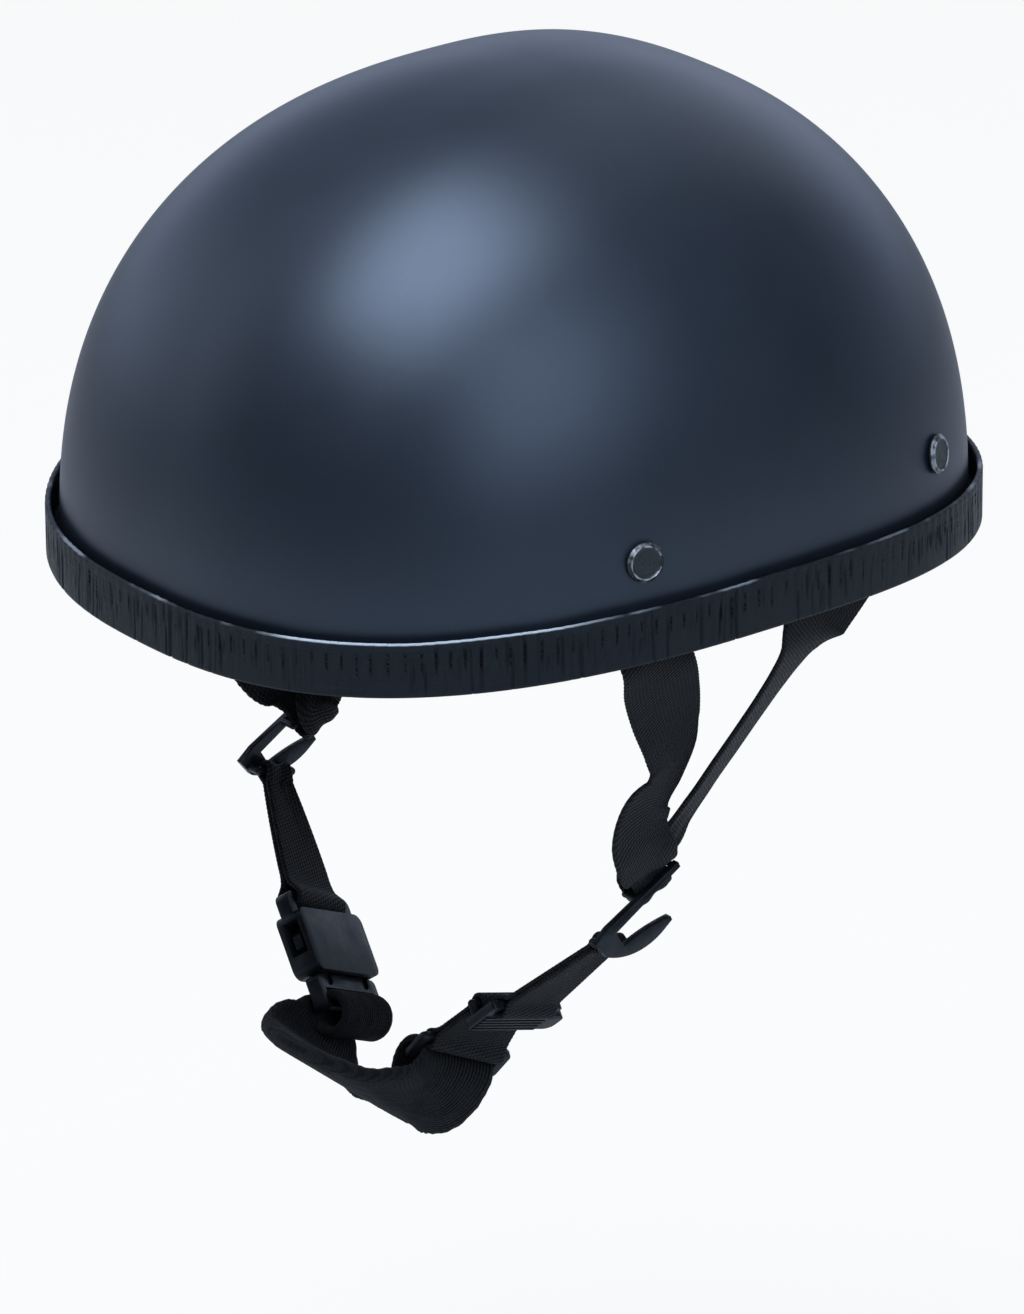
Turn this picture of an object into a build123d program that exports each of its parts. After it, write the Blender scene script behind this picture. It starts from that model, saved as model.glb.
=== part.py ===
"""Half shell motorcycle helmet, as an assembly of its separate pieces, in millimetres.

The helmet faces -Y, +Z is up and the wearer's left is +X. The origin is the middle of the
head opening, level with the place where the shell's side walls start to lean in.
"""

from build123d import *
import math
import os

# Shell
shell_half_width = 112.0
shell_front_reach = 139.0
shell_rear_reach = 119.0
shell_height = 131.5
shell_wall = 3.2
shell_rim_depth = 1.8
rim_tip_drop = 5.9
plan_power = 2.48
dome_power = 2.27
crown_power = 2.24
plan_points = 36
dome_angles = (0.0, 10.0, 22.0, 34.0, 46.0, 58.0, 69.0, 78.0, 84.5, 88.0)

# Edge trim, a folded strip that grips the shell's rim
trim_stand_off = 3.9
trim_height = 16.4
trim_lip_wall = 1.6
trim_web = 1.7
trim_slack = 0.25
trim_grip_height = 5.5
trim_inner_wall = 1.4
trim_inner_height = 9.0

# Foam liner
liner_wall = 20.0
liner_gap = 0.3
liner_rise = 1.0

# Comfort pads inside the foam
pad_gap = 0.3
crown_pad_wall = 7.0
crown_pad_start = 58.0
crown_channel_width = 5.0
crown_channel_depth = 3.0
crown_channel_count = 3
band_pad_wall = 8.0
band_pad_height = 30.0
band_pad_split = 5.0
brow_pad_half_width = 62.0
rear_pad_half_width = 46.0

# Rivets and the plates behind them
rivet_head_radius = 5.8
rivet_head_height = 1.7
rivet_head_seat = 0.25
rivet_edge_round = 0.5
rivet_dish_radius = 4.1
rivet_dish_depth = 0.35
rivet_shank_radius = 2.4
rivet_hole_clearance = 0.15
rivet_tail_radius = 3.8
rivet_tail_height = 1.1
plate_length = 14.0
plate_width = 18.0
plate_gap = 0.4
plate_wall = 1.0
plate_corner = 3.0
front_rivet_ahead = 47.8
front_rivet_height = 24.2
rear_rivet_behind = 65.2
rear_rivet_height = 25.7

# Webbing
strap_width = 24.0
strap_wall = 1.6
strap_seat = 0.7
strap_leg_gap = 1.1
strap_end_reach = 13.0
strap_end_steps = 5
strap_pocket_clearance = 1.5
loop_clearance = 0.4
fold_draw = 0.4

# Where the side strap leaves the rim and where it turns in the slider
front_exit_ahead = 40.0
front_exit_depth = 8.0
rear_exit_behind = 18.0
rear_exit_depth = 10.0
arm_mid_x = 84.0
arm_mid_ahead = 25.6
arm_mid_depth = 88.1

# Runs of the side strap from the rim (0) to the slider (1), with turns in degrees
front_fall_shares = (0.20, 0.36, 0.45, 0.55, 0.63, 0.73, 0.82, 0.90)
front_wave_shares = (0.14, 0.26, 0.28, 0.13, -0.12, -0.27, -0.23, -0.09)
front_bow_shares = (0, 0, 0, 0, 0.02, 0.06, 0.10, 0.06)
front_turns = (2.0, -13.0, -21.0, -21.0, -12.0, -12.0, -10.0, -6.0)
front_width_shares = (1.0, 1.0, 1.0, 1.0, 1.0, 1.0, 0.93, 0.76)
rear_split_share = 0.12
rear_fall_shares = (0.30, 0.46, 0.62, 0.76, 0.85)
rear_turns = (-33.0, -31.0, -30.0, -18.0, 0.0)
rear_width_shares = (1.0, 1.0, 0.90, 0.62, 0.54)
loop_width_share = 0.54
turn_slack = 1.7
turn_drop = 2.2
turn_straight = 4.5
turn_steps = 6
split_gap = 1.3
split_round = 0.7

# Slider, a flat hook whose outline is in shares of its length and depth
slider_length = 35.0
slider_depth = 17.4
slider_wall = 2.2
slider_slope = 25.4
slider_nose_shares = ((0.28, 0.06), (-0.55, -0.02), (-0.71, -0.10), (-0.67, -0.45))
slider_heel_shares = (-0.40, -0.80)
slider_toe_shares = (-0.10, -0.83)
slider_tip_shares = ((0.01, -0.78), (0.01, -0.70))
slider_inner_shares = (-0.24, -0.575)
slider_mouth_shares = ((-0.485, -0.53), (-0.50, -0.20), (0.28, -0.04))
slider_loop_shares = (-0.51, -0.54)
arm_bar_radius = 0.9
arm_bar_back = 1.2
arm_bar_drop = 0.45

# Chin strap, from the bar behind the slider to the bar in the chin cup
cup_bar_x = 24.0
cup_bar_ahead = 52.9
cup_bar_depth = 157.7
chin_layer_wall = 3.0
chin_eye_width = 9.0
lock_eye_width = 20.0
chin_twist_shares = (0.12, 0.34, 0.60, 0.85)
loop_bar_radius = 1.3

# Adjuster on the left side: a bar, a slot and a ribbed plate with a tab behind the strap
lock_share = 0.56
lock_bar = 2.6
lock_wall = 2.6
lock_plate = 8.4
lock_tab = 5.5
lock_corner = 1.2
lock_turn = -17.0
lock_tilt = 30.0
lock_rib_height = 0.5
lock_rib_count = 5

# Rectangular ring between the adjuster and the chin cup
ring_width = 31.0
ring_bar = 2.6
ring_wall = 2.2
ring_corner = 2.0

# Chin cup
cup_width = 52.0
cup_wall = 5.0
cup_sag = 22.5
cup_forward = 11.0
cup_tilt = 39.5
cup_eye_wall = 2.6
cup_eye_inner = 4.2
cup_bow_shares = (1.0, 0.90, 0.70, 0.42, 0.14)
cup_drop_shares = (0.20, 0.50, 0.78, 0.95, 1.0)
cup_flare_shares = (0, 0.46, 0.80, 0.96, 1.0)

# Side release buckle on the right side
socket_width = 33.0
socket_wall = 9.0
socket_corner = 3.0
socket_cavity_width = 26.0
socket_cavity_height = 5.6
socket_cavity_depth = 18.5
socket_back_wall = 1.6
socket_tail_wall = 4.4
socket_window_start = 6.5
socket_window_end = 17.0
buckle_bar = 2.8
insert_width = 31.0
insert_neck = 4.4
insert_wall = 4.4
insert_gap = 0.4
insert_corner = 1.8
tongue_width = 4.0
tongue_length = 16.0
tongue_wall = 2.6
prong_wall = 2.8
prong_root_radius = 1.7
prong_root_offset = 9.6
prong_arm_width = 2.8
prong_length = 16.0
prong_shoulder_start = 7.5
prong_shoulder_slope = 1.0
prong_shoulder_end = 12.5
prong_reach = 15.4
prong_clearance = 0.3

# How far a cutter runs past the face that it cuts
overrun = 2.0


def section_share(z, height):
    """How much of the plan is left at a level of a dome of that height."""
    level = min(max(z, 0.0) / height, 1.0)
    return (1 - level**dome_power) ** (1 / crown_power)


def plan_reach(y, inset):
    return (shell_front_reach if y < 0 else shell_rear_reach) - inset


def plan_places(inset, share):
    """Places round the egg-shaped plan, moved in by inset and scaled by share."""
    across = (shell_half_width - inset) * share
    places = []
    for i in range(plan_points):
        angle = 2 * math.pi * i / plan_points
        c, s = math.cos(angle), math.sin(angle)
        size = (abs(c) ** plan_power + abs(s) ** plan_power) ** (-1 / plan_power)
        places.append((across * size * c, plan_reach(s, inset) * share * size * s))
    return places


def closed_curve(points):
    return Wire([Edge.make_spline(points, periodic=True)])


def plan_outline(inset, z, share):
    """The plan outline at level z."""
    return closed_curve([Vector(x, y, z) for x, y in plan_places(inset, share)])


def rim_level(y):
    """The arched rim's level in side view: highest amidships, lower at both tips."""
    return -rim_tip_drop * (y / plan_reach(y, 0)) ** 2


def rim_curve(inset, height):
    """The curve that runs round at a height above the arched rim."""
    places = plan_places(inset, 1)
    return closed_curve([Vector(x, y, height + rim_level(y)) for x, y in places])


def dome(inset):
    """The solid dome whose surface lies inset inside the shell's outer surface."""
    height = shell_height - inset
    outlines = [plan_outline(inset, -(rim_tip_drop + trim_height), 1)]
    for angle in dome_angles:
        z = height * math.sin(math.radians(angle))
        outlines.append(plan_outline(inset, z, section_share(z, height)))
    return Solid.make_loft(outlines)


def rim_line(z):
    """The rim's arched line in side view, at a height, in two arcs."""
    edges = []
    for reach in (-shell_front_reach, shell_rear_reach):
        span = reach * (1 + trim_height / shell_front_reach)
        ends = [Vector(0, y, z + rim_level(y)) for y in (span, span / 2, 0)]
        edges.append(Edge.make_three_point_arc(*ends))
    return edges


def rim_slab(low, high):
    """All that lies between two levels measured along the arched rim."""
    bottom, top = rim_line(low), rim_line(high)
    sides = [Edge.make_line(a @ 0, b @ 0) for a, b in zip(bottom, top)]
    width = shell_half_width + trim_height
    return extrude(Face(Wire(bottom + top + sides)), amount=width, dir=(1, 0, 0), both=True)


def wall_point(y, z, inset):
    """The place on the wearer's left side of the surface at inset, given by y and z."""
    share = section_share(z, shell_height - inset)
    left = share**plan_power - (abs(y) / plan_reach(y, inset)) ** plan_power
    return Vector((shell_half_width - inset) * left ** (1 / plan_power), y, z)


def wall_normal(y, z):
    """Outward direction of the shell's outer surface on the wearer's left."""
    level = max(z, 0.0) / shell_height
    lean = (1 - level**dome_power) ** (plan_power / crown_power - 1)
    rise = dome_power * level ** (dome_power - 1) / (crown_power * shell_height)
    power = plan_power - 1
    gx = wall_point(y, z, 0).X ** power / shell_half_width**plan_power
    gy = math.copysign(abs(y) ** power / plan_reach(y, 0) ** plan_power, y)
    return Vector(gx, gy, lean * rise).normalized()


def square_to(across, along):
    """The part of a width direction that is square to the strap's run."""
    return (across - along * across.dot(along)).normalized()


def ribbon(stations, wall, square=True):
    """A strap through stations of a middle, a width direction and a width.

    Its ends and folds are square to its run, or else keep the stations' own directions.
    """
    outlines = []
    for i, (middle, across, width) in enumerate(stations):
        before = stations[max(i - 1, 0)][0]
        after = stations[min(i + 1, len(stations) - 1)][0]
        along = (after - before).normalized()
        across = square_to(across, along) if square else across
        out = across.cross(along).normalized()
        corners = []
        for a, b in ((-1, -1), (1, -1), (1, 1), (-1, 1)):
            corners.append(middle + across * (a * width / 2) + out * (b * wall / 2))
        outlines.append(Wire.make_polygon(corners, close=True))
    return Solid.make_loft(outlines, ruled=True)


def cut_back(stations, amount, first):
    """The stations with one end moved along the strap by an amount, inward if positive."""
    kept = list(stations)
    here, beside = (0, 1) if first else (-1, -2)
    step = (kept[beside][0] - kept[here][0]).normalized() * amount
    kept[here] = (kept[here][0] + step, kept[here][1], kept[here][2])
    return kept


def tube(middle, axis, inner, outer, length):
    """A straight tube about a bar."""
    plane = Plane(origin=middle - axis * (length / 2), z_dir=axis)
    return extrude(plane * (Circle(outer) - Circle(inner)), amount=length)


def rod(middle, axis, radius, low, high):
    """A round rod about an axis, from one distance along it to another."""
    plane = Plane(origin=middle + axis * low, z_dir=axis)
    return extrude(plane * Circle(radius), amount=high - low)


def mirrored(solid):
    return mirror(solid, about=Plane.YZ)


def flipped(v):
    return Vector(-v.X, v.Y, v.Z)


def turned(degrees):
    """The straight back direction, turned in plan away from the wearer's left."""
    angle = math.radians(degrees)
    return Vector(math.sin(angle), math.cos(angle), 0)


# Strap ends inside the shell
trim_low = -(shell_rim_depth + trim_slack + trim_web)
trim_leg_inset = shell_wall + trim_slack
strap_top_inset = shell_wall + strap_seat + strap_wall / 2
strap_rim_inset = trim_leg_inset + trim_inner_wall + strap_leg_gap + strap_wall / 2
rivets = {
    "front": (-front_rivet_ahead, front_rivet_height),
    "rear": (rear_rivet_behind, rear_rivet_height),
}
exits = {
    "front": (-front_exit_ahead, -front_exit_depth),
    "rear": (rear_exit_behind, -rear_exit_depth),
}


def end_place(y, z, drop):
    """The strap's middle at a level: it steps in where its low edge meets the trim's leg."""
    low = trim_low + trim_inner_height + drop
    high = max(min(front_rivet_height, rear_rivet_height) - plate_length / 2, low + strap_wall)
    share = min(max((z - low) / (high - low), 0), 1)
    return wall_point(y, z, strap_rim_inset + (strap_top_inset - strap_rim_inset) * share)


def end_stations(end):
    """Stations of a strap end, from its top edge, flat under the plate, to the rim."""
    rivet_y, rivet_z = rivets[end]
    exit_y, exit_z = exits[end]
    run = Vector(0, exit_y - rivet_y, exit_z - rivet_z)
    first = plate_length / 2
    steps = range(strap_end_steps + 1)
    falls = [-strap_end_reach, -first]
    falls += [first + (run.length - first) * i / strap_end_steps for i in steps]
    stations = []
    for fall in falls:
        y = rivet_y + run.Y * fall / run.length
        z = rivet_z + run.Z * fall / run.length
        across = run.cross(wall_normal(y, z))
        across = (across if across.Y > 0 else across * -1).normalized()
        drop = abs(across.Z) * strap_width / 2
        stations.append((end_place(y, z, drop), across, strap_width))
    return stations


def swing_line():
    """Where the strap bends as the chin strap swings out: front place, rear place, axis."""
    front = end_stations("front")[-1][0]
    rim = end_stations("rear")[-1][0]
    rear = rim + (arm_middle - rim) * rear_split_share
    return front, rear, (front - rear).normalized()


# Slider: its upper arm slopes up to the rear
slope = math.radians(slider_slope)
arm_along = Vector(0, math.cos(slope), math.sin(slope))
arm_up = Vector(0, -math.sin(slope), math.cos(slope))
arm_middle = Vector(arm_mid_x, -arm_mid_ahead, -arm_mid_depth)
turn_inner = arm_bar_radius + turn_slack
turn_outer = turn_inner + strap_wall
turn_middle = turn_inner + strap_wall / 2
arm_bar_stand = slider_wall / 2 + loop_clearance + turn_outer
arm_bar_shift = arm_along * arm_bar_back - arm_up * arm_bar_drop
arm_bar = arm_middle + arm_bar_shift - Vector(arm_bar_stand, 0, 0)
turn_place = arm_bar - arm_up * turn_drop
eye_inner = loop_bar_radius + loop_clearance
eye_outer = eye_inner + strap_wall


def turn_stations(end):
    """The narrow, straight last stretch of a run, from above the slider's arm to the turn."""
    width = loop_width_share * strap_width
    return [(end + arm_up * turn_straight, arm_along, width), (end, arm_along, width)]


def front_run():
    """The front run, from its riveted top to the outer side of the slider's arm bar."""
    stations = end_stations("front")
    start, _, axis = swing_line()
    stations[-1] = (start, -axis, strap_width)
    end = turn_place + Vector(turn_middle, 0, 0)
    waves = zip(front_bow_shares, front_wave_shares)
    for fall, (bow, wave), turn, width in zip(
        front_fall_shares, waves, front_turns, front_width_shares
    ):
        middle = start + (end - start) * fall + Vector(bow, wave, 0) * strap_width
        stations.append((middle, turned(turn), width * strap_width))
    return stations + turn_stations(end)


def rear_run():
    """The rear run, from its riveted top to the inner side of the slider's arm bar."""
    stations = end_stations("rear")
    _, start, axis = swing_line()
    stations.append((start, -axis, strap_width))
    end = turn_place - Vector(turn_middle, 0, 0)
    for fall, turn, width in zip(rear_fall_shares, rear_turns, rear_width_shares):
        stations.append((start + (end - start) * fall, turned(turn), width * strap_width))
    return stations + turn_stations(end)


def side_run():
    """The whole side strap: front rivet, rim, round the slider's arm bar, rim, rear rivet."""
    front, rear = front_run(), rear_run()
    width = loop_width_share * strap_width
    stations = []
    for i in range(1, turn_steps):
        angle = math.pi * i / turn_steps
        out = Vector(math.cos(angle), 0, 0) - arm_up * math.sin(angle)
        stations.append((turn_place + out * turn_middle, arm_along, width))
    return front, stations, rear[::-1]


def rivet_hole(end):
    radius = rivet_shank_radius + rivet_hole_clearance
    point = wall_point(*rivets[end], 0)
    return rod(point, plate_plane(end).z_dir, radius, -liner_wall / 2, overrun)


def side_of_split(place, side, shift):
    """All that lies above (side 1) or below (side -1) the line where the strap bends."""
    axis = swing_line()[2]
    plane = Plane(origin=place, x_dir=axis, z_dir=square_to(Vector(0, 0, 1), axis))
    size = 2 * shell_height
    return plane * Pos(0, 0, shift + side * size / 2) * Box(size, size, size)


def strap_end(end):
    """The riveted end of the side strap, split off where the strap starts to swing."""
    front, rear, _ = swing_line()
    run, place = (front_run(), front) if end == "front" else (rear_run(), rear)
    keep = side_of_split(place, 1, split_round + split_gap)
    return (ribbon(run[: strap_end_steps + 5], strap_wall) & keep) - rivet_hole(end)


def side_strap():
    """The free part of the side strap: front run, turn in the slider and rear run."""
    down, turn, up = side_run()
    places = swing_line()
    half = (strap_width - fold_draw) / 2
    body = ribbon(down[strap_end_steps + 1 :] + turn + up[: -strap_end_steps - 1], strap_wall)
    body = body & side_of_split(places[0], -1, 0)
    for place in places[:2]:
        body = body + rod(place, places[2], split_round, -half, half)
    return body


def whole_side_strap():
    """The side strap in one piece, from the front rivet round the slider to the rear rivet."""
    down, turn, up = side_run()
    return ribbon(down + turn + up, strap_wall) - rivet_hole("front") - rivet_hole("rear")


def shell():
    body = dome(0) - dome(shell_wall)
    body = body - rim_slab(-2 * trim_height, -shell_rim_depth)
    for end in rivets:
        body = body - rivet_hole(end) - mirrored(rivet_hole(end))
    return body


def edge_trim():
    """The rim strip: outer lip, gripping foot, web under the rim and inner leg."""
    outer = -trim_stand_off
    lip = outer + trim_lip_wall
    leg = trim_leg_inset + trim_inner_wall
    top = trim_low + trim_height
    foot = trim_low + trim_grip_height
    web = trim_low + trim_web
    leg_top = trim_low + trim_inner_height
    corners = [(outer, trim_low), (outer, top), (lip, top), (lip, foot)]
    corners += [(-trim_slack, foot), (-trim_slack, web), (trim_leg_inset, web)]
    corners += [(trim_leg_inset, leg_top), (leg, leg_top), (leg, trim_low)]
    curves = [rim_curve(*corner) for corner in corners]
    faces = [Face.make_surface_from_curves(a, b) for a, b in zip(curves, curves[1:] + curves[:1])]
    return Solid(Shell(faces))


liner_outer = shell_wall + liner_gap
liner_inner = liner_outer + liner_wall
liner_low = trim_low + trim_inner_height + liner_rise
pad_outer = liner_inner + pad_gap


def strap_pocket(end):
    """Room in the foam for a strap end, its plate and its rivet."""
    stations = []
    for middle, across, width in cut_back(end_stations(end), -strap_pocket_clearance, True):
        stations.append((middle, across, width + 2 * strap_pocket_clearance))
    depth = strap_wall + plate_gap + plate_wall + rivet_tail_height + strap_pocket_clearance
    return ribbon(stations, 2 * depth)


def foam_liner():
    """The thick foam cap that the shell holds, cut short above the trim's inner leg."""
    body = dome(liner_outer) - dome(liner_inner)
    body = body - rim_slab(-2 * trim_height, liner_low)
    for end in rivets:
        pocket = strap_pocket(end)
        body = body - pocket - mirrored(pocket)
    return body


def crown_pad():
    """The quilted crown pad, with sewn channels across its head side."""
    inner = pad_outer + crown_pad_wall
    size = 2 * shell_front_reach
    cap = dome(pad_outer) - dome(inner)
    cap = cap - Pos(0, 0, crown_pad_start - size / 2) * Box(size, size, size)
    groove = dome(inner - crown_channel_depth)
    for i in range(crown_channel_count):
        slot = Rot(0, 0, 180 * i / crown_channel_count) * Box(size, crown_channel_width, size)
        cap = cap - (slot & groove)
    return cap


def head_band():
    """The whole ring of padding round the head, before it is divided into pads."""
    body = dome(pad_outer) - dome(pad_outer + band_pad_wall)
    return body & rim_slab(liner_low, liner_low + band_pad_height)


def end_pad(half_width, side):
    """A pad across the brow (side -1) or the back of the head (side 1)."""
    size = shell_front_reach
    return head_band() & Pos(0, side * size / 2, 0) * Box(2 * half_width, size, 2 * size)


def side_pad():
    """The pad over the wearer's left temple, between the brow pad and the rear pad."""
    size = shell_front_reach
    body = head_band() & Pos(size / 2, 0, 0) * Box(size, 2 * size, 2 * size)
    for half_width, side in ((brow_pad_half_width, -1), (rear_pad_half_width, 1)):
        gap = 2 * (half_width + band_pad_split)
        body = body - Pos(0, side * size / 2, 0) * Box(gap, size, 2 * size)
    return body


def plate_plane(end):
    """The plane of the anchor plate's inner face, parallel to the strap end that it grips."""
    above, below = end_stations(end)[1:3]
    along = (below[0] - above[0]).normalized()
    across = square_to(above[1] + below[1], along)
    out = across.cross(along)
    out = out if out.X > 0 else -out
    origin = (above[0] + below[0]) * 0.5 - out * (strap_wall / 2 + plate_gap + plate_wall)
    return Plane(origin=origin, x_dir=across, z_dir=out)


def rivet(end):
    """A solid rivet: dished head outside, shank, and a tail upset over the plate."""
    point = wall_point(*rivets[end], 0)
    seat = plate_plane(end)
    axis = seat.z_dir
    tail = (point - seat.origin).dot(axis) + rivet_hole_clearance
    top = rivet_head_seat + rivet_head_height
    head = rod(point, axis, rivet_head_radius, rivet_head_seat, top)
    head = fillet(head.faces().sort_by(Axis(point, axis))[-1].edges(), rivet_edge_round)
    head = head - rod(point, axis, rivet_dish_radius, top - rivet_dish_depth, top + overrun)
    shank = rod(point, axis, rivet_shank_radius, -tail, top - rivet_head_height / 2)
    return head + shank + rod(point, axis, rivet_tail_radius, -tail - rivet_tail_height, -tail)


def anchor_plate(end):
    """The steel plate that spreads the rivet's grip over the strap end."""
    plane = plate_plane(end)
    point = wall_point(*rivets[end], 0)
    hole = Pos(plane.to_local_coords(point).X, plane.to_local_coords(point).Y)
    hole = hole * Circle(rivet_shank_radius + rivet_hole_clearance)
    outline = RectangleRounded(plate_width, plate_length, plate_corner) - hole
    return extrude(plane * outline, amount=plate_wall)


def slider_place(share):
    """A place on the slider's face, from its shares of the length and the depth."""
    return (share[0] * slider_length, share[1] * slider_depth)


def posted_bar(middle, across, out, width, stand, radius=loop_bar_radius):
    """A round bar for webbing, held behind a plate by a post at each end."""
    half = width / 2 + loop_clearance + radius
    bar = rod(middle, across, radius, -half, half)
    for side in (-1, 1):
        post = middle + across * (side * half)
        bar = bar + rod(post, out, radius, 0, stand) + Pos(post) * Sphere(radius)
    return bar


def slider():
    """The open plastic slider, with a bar for the side strap and one for the chin strap."""
    edge = [slider_place(share) for share in slider_nose_shares]
    tip = [slider_place(share) for share in slider_tip_shares]
    mouth = [slider_place(share) for share in slider_mouth_shares]
    heel, toe = slider_place(slider_heel_shares), slider_place(slider_toe_shares)
    inner = slider_place(slider_inner_shares)
    outline = make_face([
        Polyline(*edge),
        ThreePointArc(edge[-1], heel, toe),
        Polyline(toe, *tip),
        ThreePointArc(tip[-1], inner, mouth[0]),
        Polyline(*mouth, edge[0]),
    ])
    plane = Plane(origin=arm_middle, x_dir=arm_along, z_dir=(1, 0, 0))
    plate = extrude(plane * outline, amount=slider_wall / 2, both=True)
    out = Vector(1, 0, 0)
    stand = arm_mid_x - chin_top.X
    plate = plate + posted_bar(chin_top, chin_top_across, out, chin_eye_width, stand)
    width = loop_width_share * strap_width
    return plate + posted_bar(arm_bar, arm_along, out, width, arm_bar_stand, arm_bar_radius)


# Line of the chin strap, from the bar behind the slider to the bar in the chin cup
loop_u, loop_v = slider_place(slider_loop_shares)
chin_top_out = slider_wall / 2 + loop_clearance + eye_outer
chin_top = arm_middle + arm_along * loop_u + arm_up * loop_v - Vector(chin_top_out, 0, 0)
cup_bar_left = Vector(cup_bar_x, -cup_bar_ahead, -cup_bar_depth)
cup_bar_right = flipped(cup_bar_left)
chin_run = (cup_bar_left - chin_top).length
chin_along = (cup_bar_left - chin_top).normalized()
chin_top_across = square_to(Vector(0, 1, 0), Vector(0, chin_along.Y, chin_along.Z).normalized())
cup_angle = math.radians(cup_tilt)
cup_across = Vector(0, math.cos(cup_angle), -math.sin(cup_angle))
cup_down = Vector(0, -math.sin(cup_angle), -math.cos(cup_angle))
lock_angle = math.radians(lock_tilt)
lock_back = turned(lock_turn) * math.cos(lock_angle) - Vector(0, 0, math.sin(lock_angle))
lock_across = square_to(lock_back, chin_along)
lock_out = chin_along.cross(lock_across)
lock_eye_inner = math.hypot(lock_bar, lock_wall) / 2 + loop_clearance
lock_slot = lock_eye_inner + strap_wall - lock_bar / 2 + loop_clearance
lock_width = lock_eye_width + 2 * (loop_clearance + lock_bar)
lock_top = chin_top + chin_along * (chin_run * lock_share - lock_slot)
lock_stand = lock_wall / 2 + loop_clearance + eye_outer
lock_plate_start = lock_bar / 2 + lock_slot
lock_low = lock_top + chin_along * (lock_plate_start + lock_plate / 2) - lock_out * lock_stand
ring_along = (cup_bar_left - lock_low).normalized()
ring_across = square_to(cup_across, ring_along)
cup_eye_width = ring_width - 2 * (ring_bar + loop_clearance)
cup_eye_outer = cup_eye_inner + cup_eye_wall
ring_eye_inner = math.hypot(ring_bar, ring_wall) / 2 + loop_clearance
ring_eye_outer = ring_eye_inner + strap_wall
ring_eye_middle = cup_eye_inner - ring_eye_inner
cup_eye_rise = cup_eye_outer - ring_eye_middle
ring_pitch = cup_eye_rise + ring_eye_outer + loop_clearance
ring_top = cup_bar_left - ring_along * ring_pitch


def adjuster():
    """The adjuster: a bar and a slot for the chin strap above a ribbed, tabbed plate."""
    plane = Plane(origin=lock_top, x_dir=lock_across, z_dir=lock_out)
    low = -(lock_plate_start + lock_plate)
    high = lock_bar / 2
    frame = Pos(0, (low + high) / 2) * RectangleRounded(lock_width, high - low, lock_corner)
    slot = Pos(0, -(lock_bar + lock_slot) / 2) * Rectangle(lock_width - 2 * lock_bar, lock_slot)
    tab_width = lock_width / 2 + lock_tab
    tab = RectangleRounded(tab_width, lock_plate, lock_plate / 3)
    tab = Pos(tab_width / 2, low + lock_plate / 2) * tab
    body = extrude(plane * (frame - slot + tab), amount=lock_wall / 2, both=True)
    rib_pitch = lock_plate / lock_rib_count
    rib_height = lock_wall / 2 + lock_rib_height
    for i in range(lock_rib_count):
        y = low + (i + 1 / 2) * rib_pitch
        rib = Box(lock_width - 2 * lock_corner, rib_pitch / 2, rib_height)
        body = body + plane * Pos(0, y, rib_height / 2) * rib
    return body + posted_bar(lock_low, lock_across, lock_out, lock_eye_width, lock_stand)


def cup_ring():
    """The flat rectangular ring that links the short strap to the chin cup."""
    out = ring_along.cross(ring_across)
    plane = Plane(origin=(cup_bar_left + ring_top) * 0.5, x_dir=ring_across, z_dir=out)
    outline = RectangleRounded(ring_width, ring_pitch + ring_bar, ring_corner)
    outline = outline - Rectangle(ring_width - 2 * ring_bar, ring_pitch - ring_bar)
    return extrude(plane * outline, amount=ring_wall / 2, both=True)


def looped_strap(start, end):
    """Two layers of webbing sewn together, with an eye about a bar at each end.

    Each end is the bar's middle, its direction, the eye's width and its inner radius.
    """
    (a, a_across, a_width, a_inner), (b, b_across, b_width, b_inner) = start, end
    along = (b - a).normalized()
    eyes = tube(a, a_across, a_inner, a_inner + strap_wall, a_width - fold_draw)
    eyes = eyes + tube(b, b_across, b_inner, b_inner + strap_wall, b_width - fold_draw)
    first = a + along * (a_inner + strap_wall / 2)
    last = b - along * (b_inner + strap_wall / 2)
    stations = [(first, a_across, a_width)]
    for share in chin_twist_shares:
        across = (a_across * (1 - share) + b_across * share).normalized()
        width = a_width + (b_width - a_width) * share
        stations.append((first + (last - first) * share, across, width))
    stations.append((last, b_across, b_width))
    return eyes + ribbon(stations, chin_layer_wall)


def chin_strap_left():
    start = (chin_top, chin_top_across, chin_eye_width, eye_inner)
    return looped_strap(start, (lock_top, lock_across, lock_eye_width, lock_eye_inner))


def cup_strap():
    """The short strap between the adjuster and the ring."""
    start = (lock_low, lock_across, lock_eye_width, eye_inner)
    return looped_strap(start, (ring_top, ring_across, cup_eye_width, ring_eye_inner))


def cup_stations(side):
    """Stations of the cup's band, from a loop to the middle: it flares forward as it drops."""
    stations = []
    narrow = cup_eye_width / cup_width
    for bow, drop, flare in zip(cup_bow_shares, cup_drop_shares, cup_flare_shares):
        low = cup_down * (cup_sag * drop) - cup_across * (cup_forward * flare)
        middle = Vector(side * cup_bar_x * bow, -cup_bar_ahead, -cup_bar_depth) + low
        stations.append((middle, cup_across, cup_width * (narrow + (1 - narrow) * flare)))
    return stations


def chin_cup():
    """The soft chin cup: a wide band slung between two folded loops."""
    body = ribbon(cup_stations(1) + cup_stations(-1)[::-1], cup_wall, square=False)
    for bar, along in ((cup_bar_left, ring_along), (cup_bar_right, buckle_along())):
        across = square_to(cup_across, along)
        middle = bar + along * ring_eye_middle
        bore = rod(middle, across, cup_eye_inner, -cup_width, cup_width)
        body = body - bore + tube(middle, across, cup_eye_inner, cup_eye_outer, cup_eye_width)
    return body


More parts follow.
